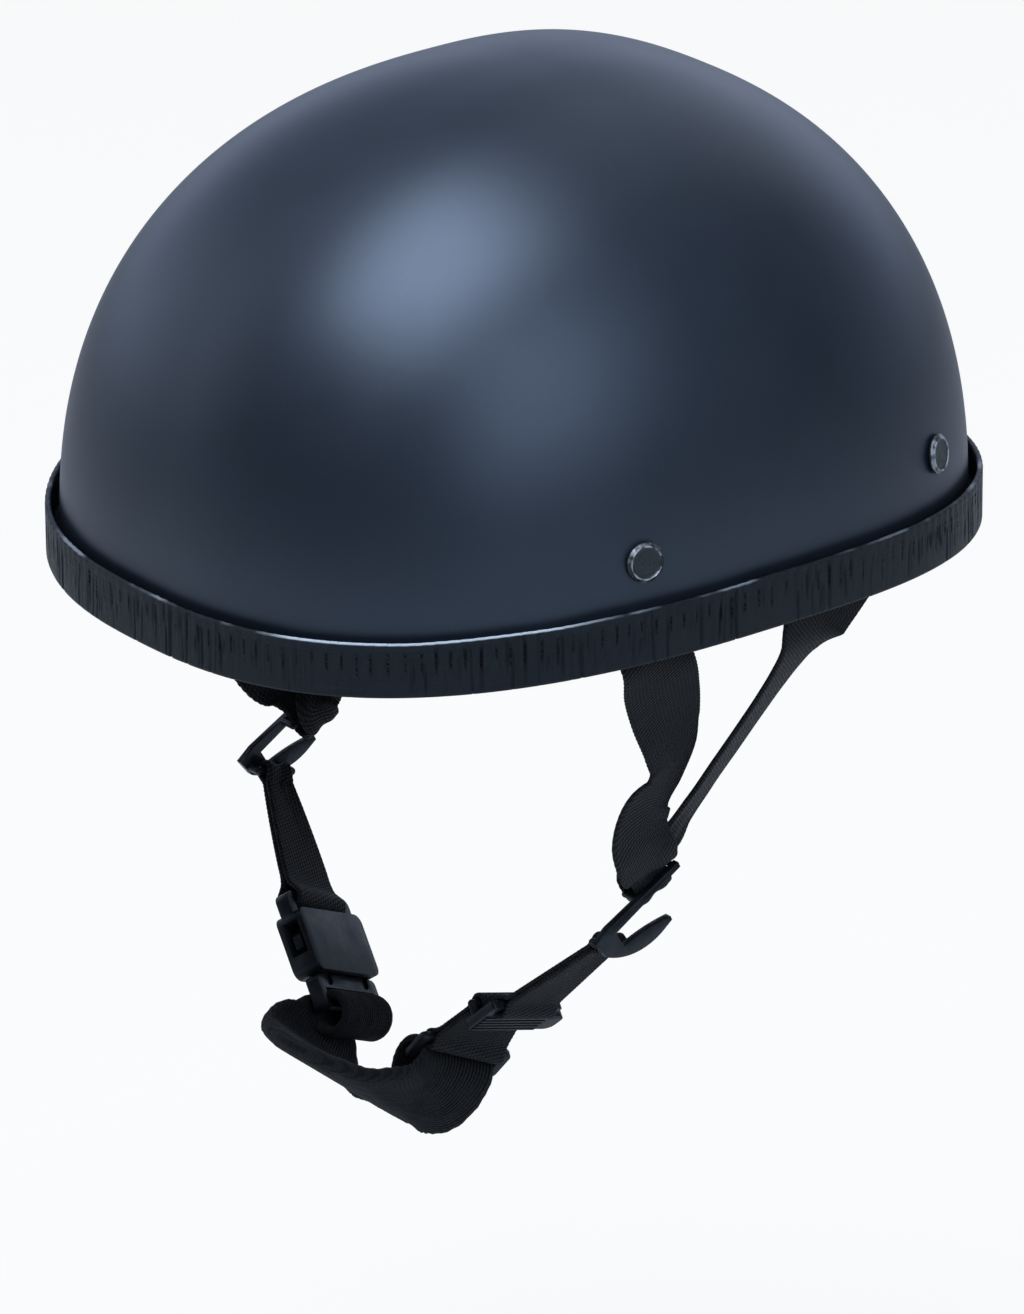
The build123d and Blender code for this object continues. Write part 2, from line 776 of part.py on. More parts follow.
buckle_slot_width = cup_eye_width + 2 * loop_clearance
insert_slot = cup_eye_rise - buckle_bar / 2 + loop_clearance
insert_bar_y = insert_gap + insert_neck + insert_slot + buckle_bar / 2
socket_eye_inner = math.hypot(buckle_bar, socket_tail_wall) / 2 + loop_clearance
socket_slot = socket_eye_inner + strap_wall - buckle_bar / 2 + loop_clearance
socket_length = socket_cavity_depth + socket_back_wall + socket_slot + buckle_bar


def buckle_along():
    """The way the insert draws out of the socket as the chin strap starts to swing."""
    origin, _, axis = swing_line()
    arm = cup_bar_right - origin
    arm = arm - axis * arm.dot(axis)
    tangent = axis.cross(arm).normalized()
    lever = (insert_bar_y + tongue_length / 2) / arm.length
    return (tangent * math.sqrt(1 - lever**2) + arm.normalized() * lever).normalized()


def buckle_plane():
    """The buckle's own plane: origin in the middle of the socket's mouth, y outwards."""
    along = buckle_along()
    across = square_to(cup_across, along)
    origin = cup_bar_right - along * insert_bar_y
    return Plane(origin=origin, x_dir=across, z_dir=across.cross(along))


def slab(width, low, high, wall, corner=0):
    """A flat block centred on the buckle's axis, from y low to y high."""
    outline = RectangleRounded(width, high - low, corner) if corner else Rectangle(width, high - low)
    return extrude(Pos(0, (low + high) / 2) * outline, amount=wall / 2, both=True)


def cross_bar(y):
    """A round bar across the buckle for the webbing."""
    half = buckle_slot_width / 2 + buckle_bar / 4
    return rod(Vector(0, y, 0), Vector(1, 0, 0), buckle_bar / 2, -half, half)


def buckle_socket():
    """The buckle's female half, with a window in each side for the prongs' shoulders."""
    back = -(socket_cavity_depth + socket_back_wall)
    body = slab(socket_width, back, 0, socket_wall, socket_corner)
    tail_low = -socket_length
    tail = slab(socket_width, tail_low, back + socket_corner, socket_tail_wall, socket_corner)
    slot = slab(buckle_slot_width, tail_low + buckle_bar, back, socket_wall)
    body = body + (tail - slot)
    body = body - slab(socket_cavity_width, -socket_cavity_depth, overrun, socket_cavity_height)
    window = slab(
        2 * socket_width, -socket_window_end, -socket_window_start, socket_cavity_height
    )
    return buckle_plane() * (body - window)


def buckle_insert():
    """The buckle's male half: neck, guide tongue and the frame with the webbing bar."""
    end = insert_bar_y + buckle_bar / 2
    body = slab(insert_width, insert_gap, end, insert_wall, insert_corner)
    body = body - slab(buckle_slot_width, insert_gap + insert_neck, end + overrun, insert_width)
    body = body + cross_bar(insert_bar_y)
    body = body + slab(tongue_width, -tongue_length, insert_gap + insert_corner, tongue_wall)
    for side in (-1, 1):
        root = Pos(side * prong_root_offset, prong_root_y)
        radius = prong_root_radius + prong_clearance
        body = body - extrude(root * Circle(radius), amount=insert_width / 2, both=True)
        low = Pos(side * prong_root_offset, prong_root_y / 2)
        notch = low * Box(2 * radius, prong_root_y, insert_width)
        body = body - notch
    return buckle_plane() * body


prong_root_y = insert_gap + prong_root_radius - prong_clearance / 2


def buckle_prong(side):
    """A springy prong with the shoulder that latches in the socket's window."""
    inner = prong_root_offset - prong_arm_width / 2
    outer = prong_root_offset + prong_arm_width / 2
    low = -prong_shoulder_start
    places = [
        (inner, prong_root_y),
        (outer, prong_root_y),
        (outer, low),
        (prong_reach, low - prong_shoulder_slope),
        (prong_reach, -prong_shoulder_end),
        (outer, -prong_length),
        (inner, -prong_length),
    ]
    outline = make_face(Polyline(*[(side * x, y) for x, y in places], close=True))
    outline = outline + Pos(side * prong_root_offset, prong_root_y) * Circle(prong_root_radius)
    return buckle_plane() * extrude(outline, amount=prong_wall / 2, both=True)


def chin_strap_right():
    """The strap from the right slider to the bar at the back of the buckle's socket."""
    start = (flipped(chin_top), flipped(chin_top_across), chin_eye_width, eye_inner)
    middle = buckle_plane().from_local_coords(Vector(0, buckle_bar / 2 - socket_length, 0))
    return looped_strap(start, (middle, buckle_plane().x_dir, strap_width, socket_eye_inner))


def helmet():
    """Every piece by name."""
    pieces = {
        "shell": shell(),
        "edge_trim": edge_trim(),
        "foam_liner": foam_liner(),
        "crown_pad": crown_pad(),
        "brow_pad": end_pad(brow_pad_half_width, -1),
        "rear_pad": end_pad(rear_pad_half_width, 1),
        "side_strap_left": side_strap(),
        "side_strap_right": mirrored(whole_side_strap()),
        "chin_strap_left": chin_strap_left(),
        "chin_strap_right": chin_strap_right(),
        "strap_adjuster": adjuster(),
        "cup_strap": cup_strap(),
        "cup_ring": cup_ring(),
        "chin_cup": chin_cup(),
        "buckle_socket": buckle_socket(),
        "buckle_insert": buckle_insert(),
        "buckle_prong_front": buckle_prong(-1),
        "buckle_prong_rear": buckle_prong(1),
    }
    pairs = {"side_pad": side_pad(), "slider": slider()}
    for end in rivets:
        pairs[f"{end}_rivet"] = rivet(end)
        pairs[f"{end}_anchor_plate"] = anchor_plate(end)
        pieces[f"{end}_strap_end_left"] = strap_end(end)
    for name, solid in pairs.items():
        pieces[f"{name}_left"] = solid
        pieces[f"{name}_right"] = mirrored(solid)
    return pieces


os.makedirs("parts", exist_ok=True)
for name, piece in helmet().items():
    export_step(piece, f"parts/{name}.step")
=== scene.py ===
"""Looks of the half shell motorcycle helmet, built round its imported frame, in metres.

The helmet faces -Y, +Z is up and the wearer's left is +X.
"""

from math import asin, copysign, cos, hypot, pi, radians, sin, sqrt

import bmesh
import bpy
import numpy as np
from mathutils import Matrix, Vector, noise


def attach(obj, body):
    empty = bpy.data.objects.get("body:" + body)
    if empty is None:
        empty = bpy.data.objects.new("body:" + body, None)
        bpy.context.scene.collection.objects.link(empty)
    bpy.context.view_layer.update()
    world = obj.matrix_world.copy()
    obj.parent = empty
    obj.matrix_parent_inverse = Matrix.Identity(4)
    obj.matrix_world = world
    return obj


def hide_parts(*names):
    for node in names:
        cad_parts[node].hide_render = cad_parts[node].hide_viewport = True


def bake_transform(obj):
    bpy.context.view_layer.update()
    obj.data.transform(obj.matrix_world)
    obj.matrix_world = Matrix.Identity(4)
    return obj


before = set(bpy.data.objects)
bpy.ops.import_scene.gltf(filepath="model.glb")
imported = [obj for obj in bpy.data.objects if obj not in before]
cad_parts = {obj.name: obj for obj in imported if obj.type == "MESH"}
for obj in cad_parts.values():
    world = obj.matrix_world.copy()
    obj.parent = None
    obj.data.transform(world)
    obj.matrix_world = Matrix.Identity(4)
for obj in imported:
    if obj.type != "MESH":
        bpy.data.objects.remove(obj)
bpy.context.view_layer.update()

# Shell
shell_half_width = 0.112
shell_front_reach = 0.139
shell_rear_reach = 0.119
shell_height = 0.1315
shell_wall = 0.0032
shell_rim_depth = 0.0018
shell_rim_round = 0.0006
rim_tip_drop = 0.0059
plan_power = 2.48
dome_power = 2.27
crown_power = 2.24
shell_gloss = 0.95
dome_turns = 360
dome_rings = 96
wall_rings = 4

# Edge trim
trim_stand_off = 0.0039
trim_height = 0.0164
trim_lip_wall = 0.0016
trim_web = 0.0017
trim_slack = 0.00025
trim_grip_height = 0.0055
trim_inner_wall = 0.0014
trim_inner_height = 0.009
trim_turns = 2600
trim_pucker_pitch = 0.0036
trim_pucker_depth = 0.00055
trim_crinkle_pitch = 0.0015
trim_crinkle_depth = 0.00034
trim_wave = 0.0005
trim_crinkle_gaps = (0.6, 1.4)
trim_crinkle_depths = (0.15, 1.0)
trim_crinkle_widths = (0.12, 0.28)
trim_crinkle_tops = (0.55, 1.1)
trim_crinkle_lows = (-0.2, 0.6)
trim_crinkle_lean = 0.0006
trim_patch_size = 0.035
trim_sway_size = 0.05
trim_ripple_size = 0.02
trim_slit_pitch = 0.0042
trim_gloss = 0.25
# Shares of the way round the rim, from and to, where the lip carries a painted highlight
trim_lip_highlight_span = (0.8, 0.93)

# Foam liner and comfort pads
liner_wall = 0.02
liner_gap = 0.0003
liner_rise = 0.001
liner_round = 0.002
pad_gap = 0.0003
crown_pad_wall = 0.007
crown_pad_start = 0.058
crown_channel_half = 0.0032
crown_channel_depth = 0.0042
crown_channels = 3
crown_pad_turns = 300
crown_pad_rings = 70
crown_edge_rings = 9
crown_edge_depth = 0.0056
crown_centre_depth = 0.02
band_pad_wall = 0.008
band_pad_height = 0.03
band_pad_split = 0.005
band_pad_turns = 150
band_pad_rings = 30
band_pad_end_power = 14
band_pad_swell = 0.06
split_steps = 900
brow_pad_half_width = 0.062
rear_pad_half_width = 0.046

# Rivets and their plates
rivet_head_radius = 0.0058
rivet_head_height = 0.0017
rivet_head_seat = 0.00025
rivet_lip = 0.0005
rivet_shank_radius = 0.0024
rivet_tail_radius = 0.0038
rivet_tail_height = 0.0011
rivet_clearance = 0.00015
plate_length = 0.014
plate_gap = 0.0004
plate_wall = 0.001
rivet_dent = 0.00003
rivet_dent_size = 0.0016
rivet_turns = 72
edge_round = 0.0003
sharp_angle = radians(40)
weld_distance = 0.00001
plastic_gloss = 0.3
plastics = (  # use, name, colours of low and high places, roughness from and to
    ("slider", "slider", (0.004, 0.005, 0.006), (0.013, 0.015, 0.018), 0.28, 0.5),
    ("hardware", "buckle", (0.003, 0.003, 0.004), (0.01, 0.011, 0.013), 0.36, 0.55),
    ("ring", "ring", (0.004, 0.004, 0.005), (0.012, 0.013, 0.015), 0.33, 0.5),
)
# Where the rivets and the straps' exits under the rim are, as y and z
rivets = {"front": (-0.0478, 0.0242), "rear": (0.0652, 0.0257)}
exits = {"front": (-0.04, -0.008), "rear": (0.018, -0.01)}

# Webbing
strap_width = 0.024
strap_wall = 0.0016
strap_seat = 0.0007
strap_leg_gap = 0.0011
strap_end_reach = 0.013
strap_end_steps = 5
strap_pocket_clearance = 0.0015
strap_step = 0.0005
weave_pitch = 0.0015
weave_depth = 0.00012
cloth_gloss = 0.2
pleat_count = 1.5
pleat_depth = 0.00035
loop_clearance = 0.0004
loop_reach = 1.8
loop_shares = (0.1, 0.16, 0.24, 0.36, 0.5, 0.64, 0.76, 0.84, 0.9)

# Slider
arm_middle = Vector((0.084, -0.0256, -0.0881))
slider_length = 0.035
slider_depth = 0.0174
slider_wall = 0.0022
slider_slope = radians(25.4)
slider_loop_shares = (-0.51, -0.54)
arm_bar_radius = 0.0009
arm_bar_back = 0.0012
arm_bar_drop = 0.00045
turn_slack = 0.0017
turn_drop = 0.0022
turn_straight = 0.0045
loop_width_share = 0.54
rear_split_share = 0.12
rear_exit_turn = -17  # degrees

# Runs of the side strap from the rim (0) to the slider (1), turns in degrees
front_run_shares = (  # fall, bow and wave in strap widths, turn, width
    (0.2, 0, 0.14, 2, 1.0),
    (0.36, 0, 0.26, -13, 1.0),
    (0.45, 0, 0.28, -21, 1.0),
    (0.55, 0, 0.13, -21, 1.0),
    (0.63, 0.02, -0.12, -12, 1.0),
    (0.73, 0.06, -0.27, -12, 1.0),
    (0.82, 0.1, -0.23, -10, 0.93),
    (0.9, 0.06, -0.09, -6, 0.76),
)
rear_run_shares = (  # fall, turn, width
    (0.08, -23, 1.0),
    (0.18, -26, 1.0),
    (0.3, -27, 1.0),
    (0.46, -27, 1.0),
    (0.62, -26, 0.9),
    (0.76, -17, 0.62),
    (0.85, 0, 0.54),
)

# Chin strap, adjuster, ring, cup and buckle
cup_bar_left = Vector((0.024, -0.0529, -0.1577))
chin_layer_wall = 0.003
chin_eye_width = 0.009
chin_fold_depth = 0.0022
loop_bar_radius = 0.0013
lock_eye_width = 0.02
lock_share = 0.56
lock_bar = 0.0026
lock_wall = 0.0026
lock_plate = 0.0084
lock_turn = -17  # degrees
lock_tilt = radians(30)
ring_width = 0.031
ring_bar = 0.0026
ring_wall = 0.0022
cup_width = 0.052
cup_wall = 0.005
cup_sag = 0.0184
cup_lean = 0.14
cup_forward = 0.011
cup_tilt = radians(39.5)
cup_eye_wall = 0.0026
cup_eye_inner = 0.0042
cup_mouth_radius = 0.0076
cup_mouth_wrap = 220
cup_snug_wrap = 280
cup_shares = (  # bow, drop and flare, from a bar to the middle
    (1.14, 0.62, 0.3),
    (0.92, 0.86, 0.62),
    (0.54, 0.97, 0.9),
    (0.16, 1.0, 1.0),
)
cup_rib_pitch = 0.0011
cup_rib_depth = 0.00018
cup_step = 0.0009
cup_section_steps = 190
socket_cavity_depth = 0.0185
socket_back_wall = 0.0016
socket_tail_wall = 0.0044
buckle_bar = 0.0028
insert_neck = 0.0044
insert_gap = 0.0004
tongue_length = 0.016

# Camera, in the photograph's frame
photo_height = 1314
camera_azimuth = 51.93  # degrees, as the next two
camera_elevation = 22.71
camera_roll = -0.43
camera_distance = 2.73125
camera_target = Vector((0.0369, -0.03901, -0.02959))
camera_focus = 9596.44
camera_sensor = 36.0
camera_reach = 30.0

# Room
floor_level = -0.33
floor_size = 14.0
floor_glow = 0.89
floor_colour = (0.72, 0.725, 0.73)
surround_colour = (0.8, 0.88, 1.0)
surround_strength = 0.35
backdrop_azimuth = 232  # degrees
backdrop_tint = (0.86, 1.0, 1.3)
backdrop_start = 0.05
backdrop_full = 0.8
room_share = 0.07
ceiling_start = 0.15
ceiling_full = 0.6
light_target = Vector((0.02, -0.02, 0.03))
lamps = (  # azimuth and elevation in degrees, distance, size, power, colour
    ("key_lamp", 4.0, 75.0, 1.5, 1.25, 30.0, (0.78, 0.87, 1.0)),
    ("fill_lamp", 84.0, 34.0, 1.6, 1.1, 10.0, (0.72, 0.84, 1.0)),
    ("right_lamp", -60.0, 20.0, 1.8, 1.0, 2.0, (0.85, 0.92, 1.0)),
    ("back_lamp", 200.0, 35.0, 2.0, 1.4, 4.0, (0.85, 0.92, 1.0)),
)


def around(count):
    """Even angles once round."""
    return np.linspace(0, 2 * pi, count, endpoint=False)


def cos_sin(degrees):
    angle = radians(degrees)
    return cos(angle), sin(angle)


def section_share(z, height):
    """Share of the plan left at a level of a dome."""
    level = np.clip(z / height, 0, 1)
    return (1 - level**dome_power) ** (1 / crown_power)


def plan_reach(y, inset):
    return np.where(np.asarray(y) < 0, shell_front_reach, shell_rear_reach) - inset


def plan_places(angle, inset):
    """Places round the egg-shaped plan, moved in by inset."""
    c, s = np.cos(angle), np.sin(angle)
    size = (abs(c) ** plan_power + abs(s) ** plan_power) ** (-1 / plan_power)
    return (shell_half_width - inset) * size * c, plan_reach(s, inset) * size * s


def rim_level(y):
    """The arched rim's level: highest amidships, lower at both tips."""
    return -rim_tip_drop * (y / plan_reach(y, 0)) ** 2


def dome_places(angle, z, inset):
    """Places on the dome at an inset, from plan angles and levels."""
    share = section_share(z, shell_height - inset)
    x, y = plan_places(angle, inset)
    return np.stack([x * share, y * share, z + 0 * x], -1)


def dome_levels(height, low, count):
    """Levels of a dome from low up towards its pole, at even angles."""
    first = asin(low / height)
    return [height * sin(first + (pi / 2 - first) * i / count) for i in range(count)]


def dome_rings_from(low, inset):
    """Rings of the dome, from a height above the arched rim up towards the pole."""
    angle = around(dome_turns)
    _, y = plan_places(angle, inset)
    foot = low + rim_level(y)
    levels = [foot * (1 - i / wall_rings) for i in range(wall_rings)]
    levels += dome_levels(shell_height - inset, max(low, 0), dome_rings)
    return [dome_places(angle, z, inset) for z in levels]


def circle(radius, z, count):
    """A ring of points round the Z axis."""
    angle = around(count)
    return np.stack([radius * np.cos(angle), radius * np.sin(angle), np.full(count, z)], -1)


def put(name, data):
    """A new object in the scene."""
    made = bpy.data.objects.new(name, data)
    bpy.context.scene.collection.objects.link(made)
    return made


def skin(name, rings, start=None, end=None, closed=True, runs=None, loop=False):
    """A mesh through rings of points, with a pole or a flat cap at each end."""
    rings = np.asarray(rings, float)
    count, size = rings.shape[:2]
    points = rings.reshape(-1, 3)
    j = np.arange(size if closed else size - 1)[None, :]
    k = (j + 1) % size
    i = np.arange(count if loop else count - 1)[:, None] * size
    after = (i + size) % (count * size)
    faces = np.stack([i + j, i + k, after + k, after + j], -1).reshape(-1, 4).tolist()
    poles = []
    for pole, first in () if loop or not closed else ((start, 0), (end, (count - 1) * size)):
        ring = list(range(first, first + size))
        if pole is None:
            faces.append(ring)
        else:
            centre = len(points) + len(poles)
            poles.append(list(pole))
            faces += [[a, b, centre] for a, b in zip(ring, ring[1:] + ring[:1])]
    mesh = bpy.data.meshes.new(name)
    mesh.from_pydata(points.tolist() + poles, [], faces)
    if runs is not None:
        values = np.concatenate([np.asarray(runs, float).reshape(-1, 3), np.zeros((len(poles), 3))])
        attribute = mesh.attributes.new("run", "FLOAT_VECTOR", "POINT")
        attribute.data.foreach_set("vector", values.astype(np.float32).ravel())
    tidy = bmesh.new()
    tidy.from_mesh(mesh)
    bmesh.ops.recalc_face_normals(tidy, faces=tidy.faces)
    tidy.to_mesh(mesh)
    tidy.free()
    mesh.shade_smooth()
    return put(name, mesh)


def dress(piece, body, slot, look, *nodes):
    """Gives a piece its body and look and hides the nodes that it stands for; the slot is not used."""
    piece.data.materials.append(look)
    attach(piece, body)
    if nodes:
        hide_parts(*nodes)
    return piece


def mirror(mesh):
    """Takes a mesh to the wearer's other side."""
    mesh.transform(Matrix.Diagonal((-1, 1, 1, 1)))
    mesh.flip_normals()
    return mesh


def smooth_noise(points, scale, seed=0.0):
    """Even noise from -1 to 1 at points."""
    shift = Vector((seed, seed, seed))
    return np.array([noise.noise(Vector(p) / scale + shift) for p in np.asarray(points)])


class Nodes:
    """A node tree, put together step by step."""

    def __init__(self, tree):
        self.tree = tree

    def node(self, kind, inputs=None, **settings):
        """A node, with each of its inputs linked or set."""
        made = self.tree.nodes.new("ShaderNode" + kind)
        for key, value in settings.items():
            setattr(made, key, value)
        for key, value in (inputs or {}).items():
            if isinstance(value, bpy.types.NodeSocket):
                self.tree.links.new(value, made.inputs[key])
            else:
                made.inputs[key].default_value = value
        return made

    def math(self, operation, a, b=0.0):
        return self.node("Math", {0: a, 1: b}, operation=operation).outputs[0]

    def times(self, a, b):
        return self.math("MULTIPLY", a, b)

    def plus(self, a, b):
        return self.math("ADD", a, b)

    def ramp(self, value, low, high, to_low=0.0, to_high=1.0):
        """A value from one range brought to another, with clamped ends."""
        inputs = {"Value": value, "From Min": low, "From Max": high, "To Min": to_low, "To Max": to_high}
        return self.node("MapRange", inputs).outputs["Result"]

    def mix(self, share, *colours):
        """A colour between two."""
        a, b = ((*c, 1) if isinstance(c, tuple) else c for c in colours)
        return self.node("Mix", {0: share, 6: a, 7: b}, data_type="RGBA").outputs[2]

    def surface(self, shader, output):
        self.tree.links.new(shader, self.tree.nodes[output].inputs["Surface"])


class Look(Nodes):
    """A material, with its own shader and the object's coordinates."""

    def __init__(self, name, colour, roughness, gloss=0.5, **more):
        self.material = bpy.data.materials.new(name)
        self.material.use_nodes = True
        super().__init__(self.material.node_tree)
        self.shader = self.tree.nodes["Principled BSDF"]
        fixed = {"Base Color": (*colour, 1), "Roughness": roughness, "Specular IOR Level": gloss, **more}
        for socket, value in fixed.items():
            self.shader.inputs[socket.replace("_", " ")].default_value = value
        self.place = self.node("TexCoord").outputs["Object"]

    def run(self):
        """The piece's own run coordinates (across, along, a third value), together and apart."""
        vector = self.node("Attribute", attribute_name="run").outputs["Vector"]
        return vector, self.node("SeparateXYZ", {0: vector}).outputs

    def noise(self, scale, detail=3.0, vector=None, rough=0.5):
        inputs = {"Vector": vector or self.place, "Scale": scale, "Detail": detail, "Roughness": rough}
        return self.node("TexNoise", inputs).outputs["Fac"]

    def streaks(self, vector, scales, detail=3.0, rough=0.5):
        """Noise with a scale of its own along each axis."""
        drawn = self.node("Mapping", {"Vector": vector, "Scale": scales}).outputs["Vector"]
        return self.noise(1.0, detail, drawn, rough)

    def cells(self, scale, feature="F1"):
        inputs = {"Vector": self.place, "Scale": scale}
        return self.node("TexVoronoi", inputs, feature=feature).outputs["Distance"]

    def bump(self, *layers):
        """Stacked bumps, each a height, a distance in metres and a strength."""
        normal = None
        for height, distance, strength in layers:
            inputs = {"Height": height, "Distance": distance, "Strength": strength}
            if normal is not None:
                inputs["Normal"] = normal
            normal = self.node("Bump", inputs).outputs["Normal"]
        self.tree.links.new(normal, self.shader.inputs["Normal"])

    def finished(self, colour, rough, *layers):
        """The material, with its colour, its roughness and its bumps."""
        self.tree.links.new(colour, self.shader.inputs["Base Color"])
        self.tree.links.new(rough, self.shader.inputs["Roughness"])
        self.bump(*layers)
        return self.material


def shell_paint():
    """Satin black paint with a slight orange peel and a dusty mottle."""
    tint = (0.66, 0.78, 1, 1)
    look = Look("satin_black_paint", (0.006, 0.008, 0.013), 0.42, shell_gloss, Specular_Tint=tint)
    mottle = look.noise(55, 4)
    fine = look.noise(900, 2)
    tone = look.mix(look.ramp(mottle, 0.35, 0.65), (0.005, 0.008, 0.013), (0.006, 0.009, 0.015))
    tone = look.mix(look.ramp(fine, 0.55, 0.75, 0, 0.35), tone, (0.014, 0.018, 0.028))
    rough = look.ramp(mottle, 0.3, 0.7, 0.41, 0.43)
    return look.finished(tone, rough, (look.noise(330, 2), 0.00004, 0.35), (fine, 0.00002, 0.25))


def trim_vinyl():
    """Crinkled black vinyl: streaks, slits down from its lip painted dark as shade in their creases, and a
    painted highlight along part of its lip.
    """
    tint = (0.72, 0.85, 1, 1)
    look = Look("crinkled_vinyl", (0.004, 0.005, 0.007), 0.42, trim_gloss, Specular_Tint=tint)
    run, (_, way, level) = look.run()
    streaks = look.streaks(run, (120, 2400, 120), 4, 0.65)
    patches = look.streaks(run, (40, 38, 40))
    drift = look.streaks(run, (0, 45, 0), 2)
    phase = look.plus(look.times(way, 1 / trim_slit_pitch), look.times(drift, 1.4))
    near = look.math("ABSOLUTE", look.math("SUBTRACT", look.math("FRACT", phase), 0.5))
    foot = look.ramp(look.streaks(run, (0, 330, 0), 1), 0.3, 0.7, 0.3, 0.66)
    tall = look.ramp(look.math("SUBTRACT", level, foot), 0, 0.06)
    tall = look.times(tall, look.ramp(level, 0.8, 0.86, 1, 0))
    shaded_slit = look.times(look.ramp(near, 0.05, 0.1, 1, 0), tall)
    shaded_slit = look.times(shaded_slit, look.ramp(patches, 0.44, 0.52, 0.15, 1))
    grain = look.cells(1700)
    share = look.times(way, 1 / rim_steps(trim_turns)[2])
    # Painted highlight on the lip: streaks of light grey over part of the way round the rim, and a few
    # fainter ones elsewhere
    first, last = trim_lip_highlight_span
    rubbed = look.ramp(share, first, first + 0.01)
    rubbed = look.times(rubbed, look.ramp(share, last - 0.03, last, 1, 0))
    rubbed = look.math("MAXIMUM", rubbed, look.ramp(drift, 0.5, 0.62, 0, 0.35))
    blotches = look.times(look.ramp(streaks, 0.36, 0.42, 0.2, 1), rubbed)
    lip = look.times(look.ramp(level, 0.972, 0.988), blotches)
    tone = look.mix(look.ramp(streaks, 0.4, 0.66), (0.0015, 0.002, 0.003), (0.01, 0.013, 0.018))
    tone = look.mix(look.ramp(patches, 0.45, 0.7, 0, 0.45), tone, (0.015, 0.02, 0.028))
    # The lip's painted highlight
    tone = look.mix(look.times(lip, 0.9), tone, (0.52, 0.58, 0.64))
    # Painted shade: the slits are coloured near-black, as shade in their creases
    tone = look.mix(shaded_slit, tone, (0.0005, 0.0005, 0.001))
    rough = look.ramp(look.plus(streaks, patches), 0.7, 1.3, 0.3, 0.52)
    rough = look.math("MAXIMUM", rough, shaded_slit)
    return look.finished(tone, rough, (streaks, 0.0006, 0.7), (shaded_slit, -0.0009, 1), (grain, 0.00012, 0.3))


def webbing_cloth():
    """Black webbing: slanting ribs crossed by warp threads, with a fine fuzz."""
    sheen = {"Sheen Weight": 0.02, "Sheen Roughness": 0.5}
    look = Look("black_webbing", (0.006, 0.006, 0.008), 0.72, cloth_gloss, **sheen)
    _, (across, along, _) = look.run()
    rib = look.math("SINE", look.plus(look.times(along, 5600), look.times(across, 2300)))
    warp = look.math("SINE", look.times(across, 5200))
    weave = look.plus(look.times(rib, 0.5), look.times(warp, 0.3))
    fuzz = look.noise(2600, 2)
    blotches = look.noise(60, 4)
    tone = look.mix(look.ramp(weave, -0.6, 0.8), (0.001, 0.001, 0.0015), (0.01, 0.011, 0.013))
    tone = look.mix(look.ramp(blotches, 0.45, 0.75, 0, 0.4), tone, (0.014, 0.015, 0.018))
    tone = look.mix(look.ramp(fuzz, 0.55, 0.8, 0, 0.25), tone, (0.026, 0.027, 0.031))
    rough = look.ramp(weave, -0.8, 0.8, 0.85, 0.6)
    return look.finished(tone, rough, (weave, 0.0003, 0.8), (fuzz, 0.0001, 0.4))


def cup_cloth():
    """The cup's ribbed knit, with ribs along its length."""
    sheen = {"Sheen Weight": 0.03, "Sheen Roughness": 0.45}
    look = Look("ribbed_knit", (0.008, 0.008, 0.01), 0.8, cloth_gloss, **sheen)
    run, (across, along, _) = look.run()
    wobble = look.times(look.streaks(run, (300, 160, 300)), 5)
    rib = look.math("SINE", look.plus(look.times(across, 2 * pi / cup_rib_pitch), wobble))
    stitch = look.math("SINE", look.times(along, 6200))
    knit = look.plus(look.times(rib, 0.6), look.times(stitch, 0.2))
    fuzz = look.noise(2400, 2)
    blotches = look.noise(45, 4)
    tone = look.mix(look.ramp(knit, -0.6, 0.7), (0.0015, 0.0018, 0.002), (0.01, 0.011, 0.013))
    tone = look.mix(look.ramp(blotches, 0.45, 0.75, 0, 0.4), tone, (0.013, 0.015, 0.018))
    tone = look.mix(look.ramp(fuzz, 0.5, 0.8, 0, 0.25), tone, (0.026, 0.028, 0.032))
    rough = look.ramp(knit, -0.8, 0.8, 0.9, 0.7)
    return look.finished(tone, rough, (knit, 0.0003, 0.7), (fuzz, 0.00012, 0.5))


def moulded_plastic(name, low, high, rough_low, rough_high):
    """Moulded black plastic with a faint grain, scuffs and rubbed high places."""
    look = Look(name, low, rough_low, plastic_gloss, Specular_Tint=(0.78, 0.88, 1, 1))
    cloud = look.noise(140, 4)
    scratch = look.streaks(look.place, (260, 2400, 500), rough=0.7)
    grain = look.cells(2200)
    tone = look.mix(look.ramp(cloud, 0.35, 0.7), low, high)
    rough = look.ramp(look.plus(cloud, scratch), 0.8, 1.3, rough_low, rough_high)
    dimples = look.noise(500)
    return look.finished(tone, rough, (scratch, 0.00006, 0.3), (grain, 0.00005, 0.3), (dimples, 0.00008, 0.3))


def blackened_metal():
    """Blackened rivet metal: a dull grey cap, rubbed bright along its rim."""
    look = Look("blackened_metal", (0.05, 0.05, 0.055), 0.42, Metallic=0.75)
    _, (_, _, wear) = look.run()
    blotch = look.noise(420)
    grain = look.noise(2600, 2)
    rub = look.ramp(look.times(wear, look.ramp(blotch, 0.32, 0.6)), 0.25, 0.85)
    tone = look.mix(look.ramp(grain, 0.35, 0.65), (0.03, 0.036, 0.04), (0.052, 0.06, 0.066))
    tone = look.mix(rub, tone, (0.46, 0.48, 0.52))
    rough = look.ramp(blotch, 0.3, 0.7, 0.34, 0.5)
    return look.finished(tone, rough, (blotch, 0.00008, 0.4), (grain, 0.00003, 0.3))


def plated_steel():
    """Zinc-plated steel with a faint spangle."""
    look = Look("plated_steel", (0.52, 0.52, 0.5), 0.34, Metallic=1)
    tone = look.mix(look.ramp(look.cells(420), 0.1, 0.7), (0.44, 0.44, 0.43), (0.62, 0.61, 0.57))
    rough = look.ramp(look.noise(260, 4), 0.3, 0.7, 0.26, 0.5)
    return look.finished(tone, rough, (look.noise(1500), 0.00004, 0.4))


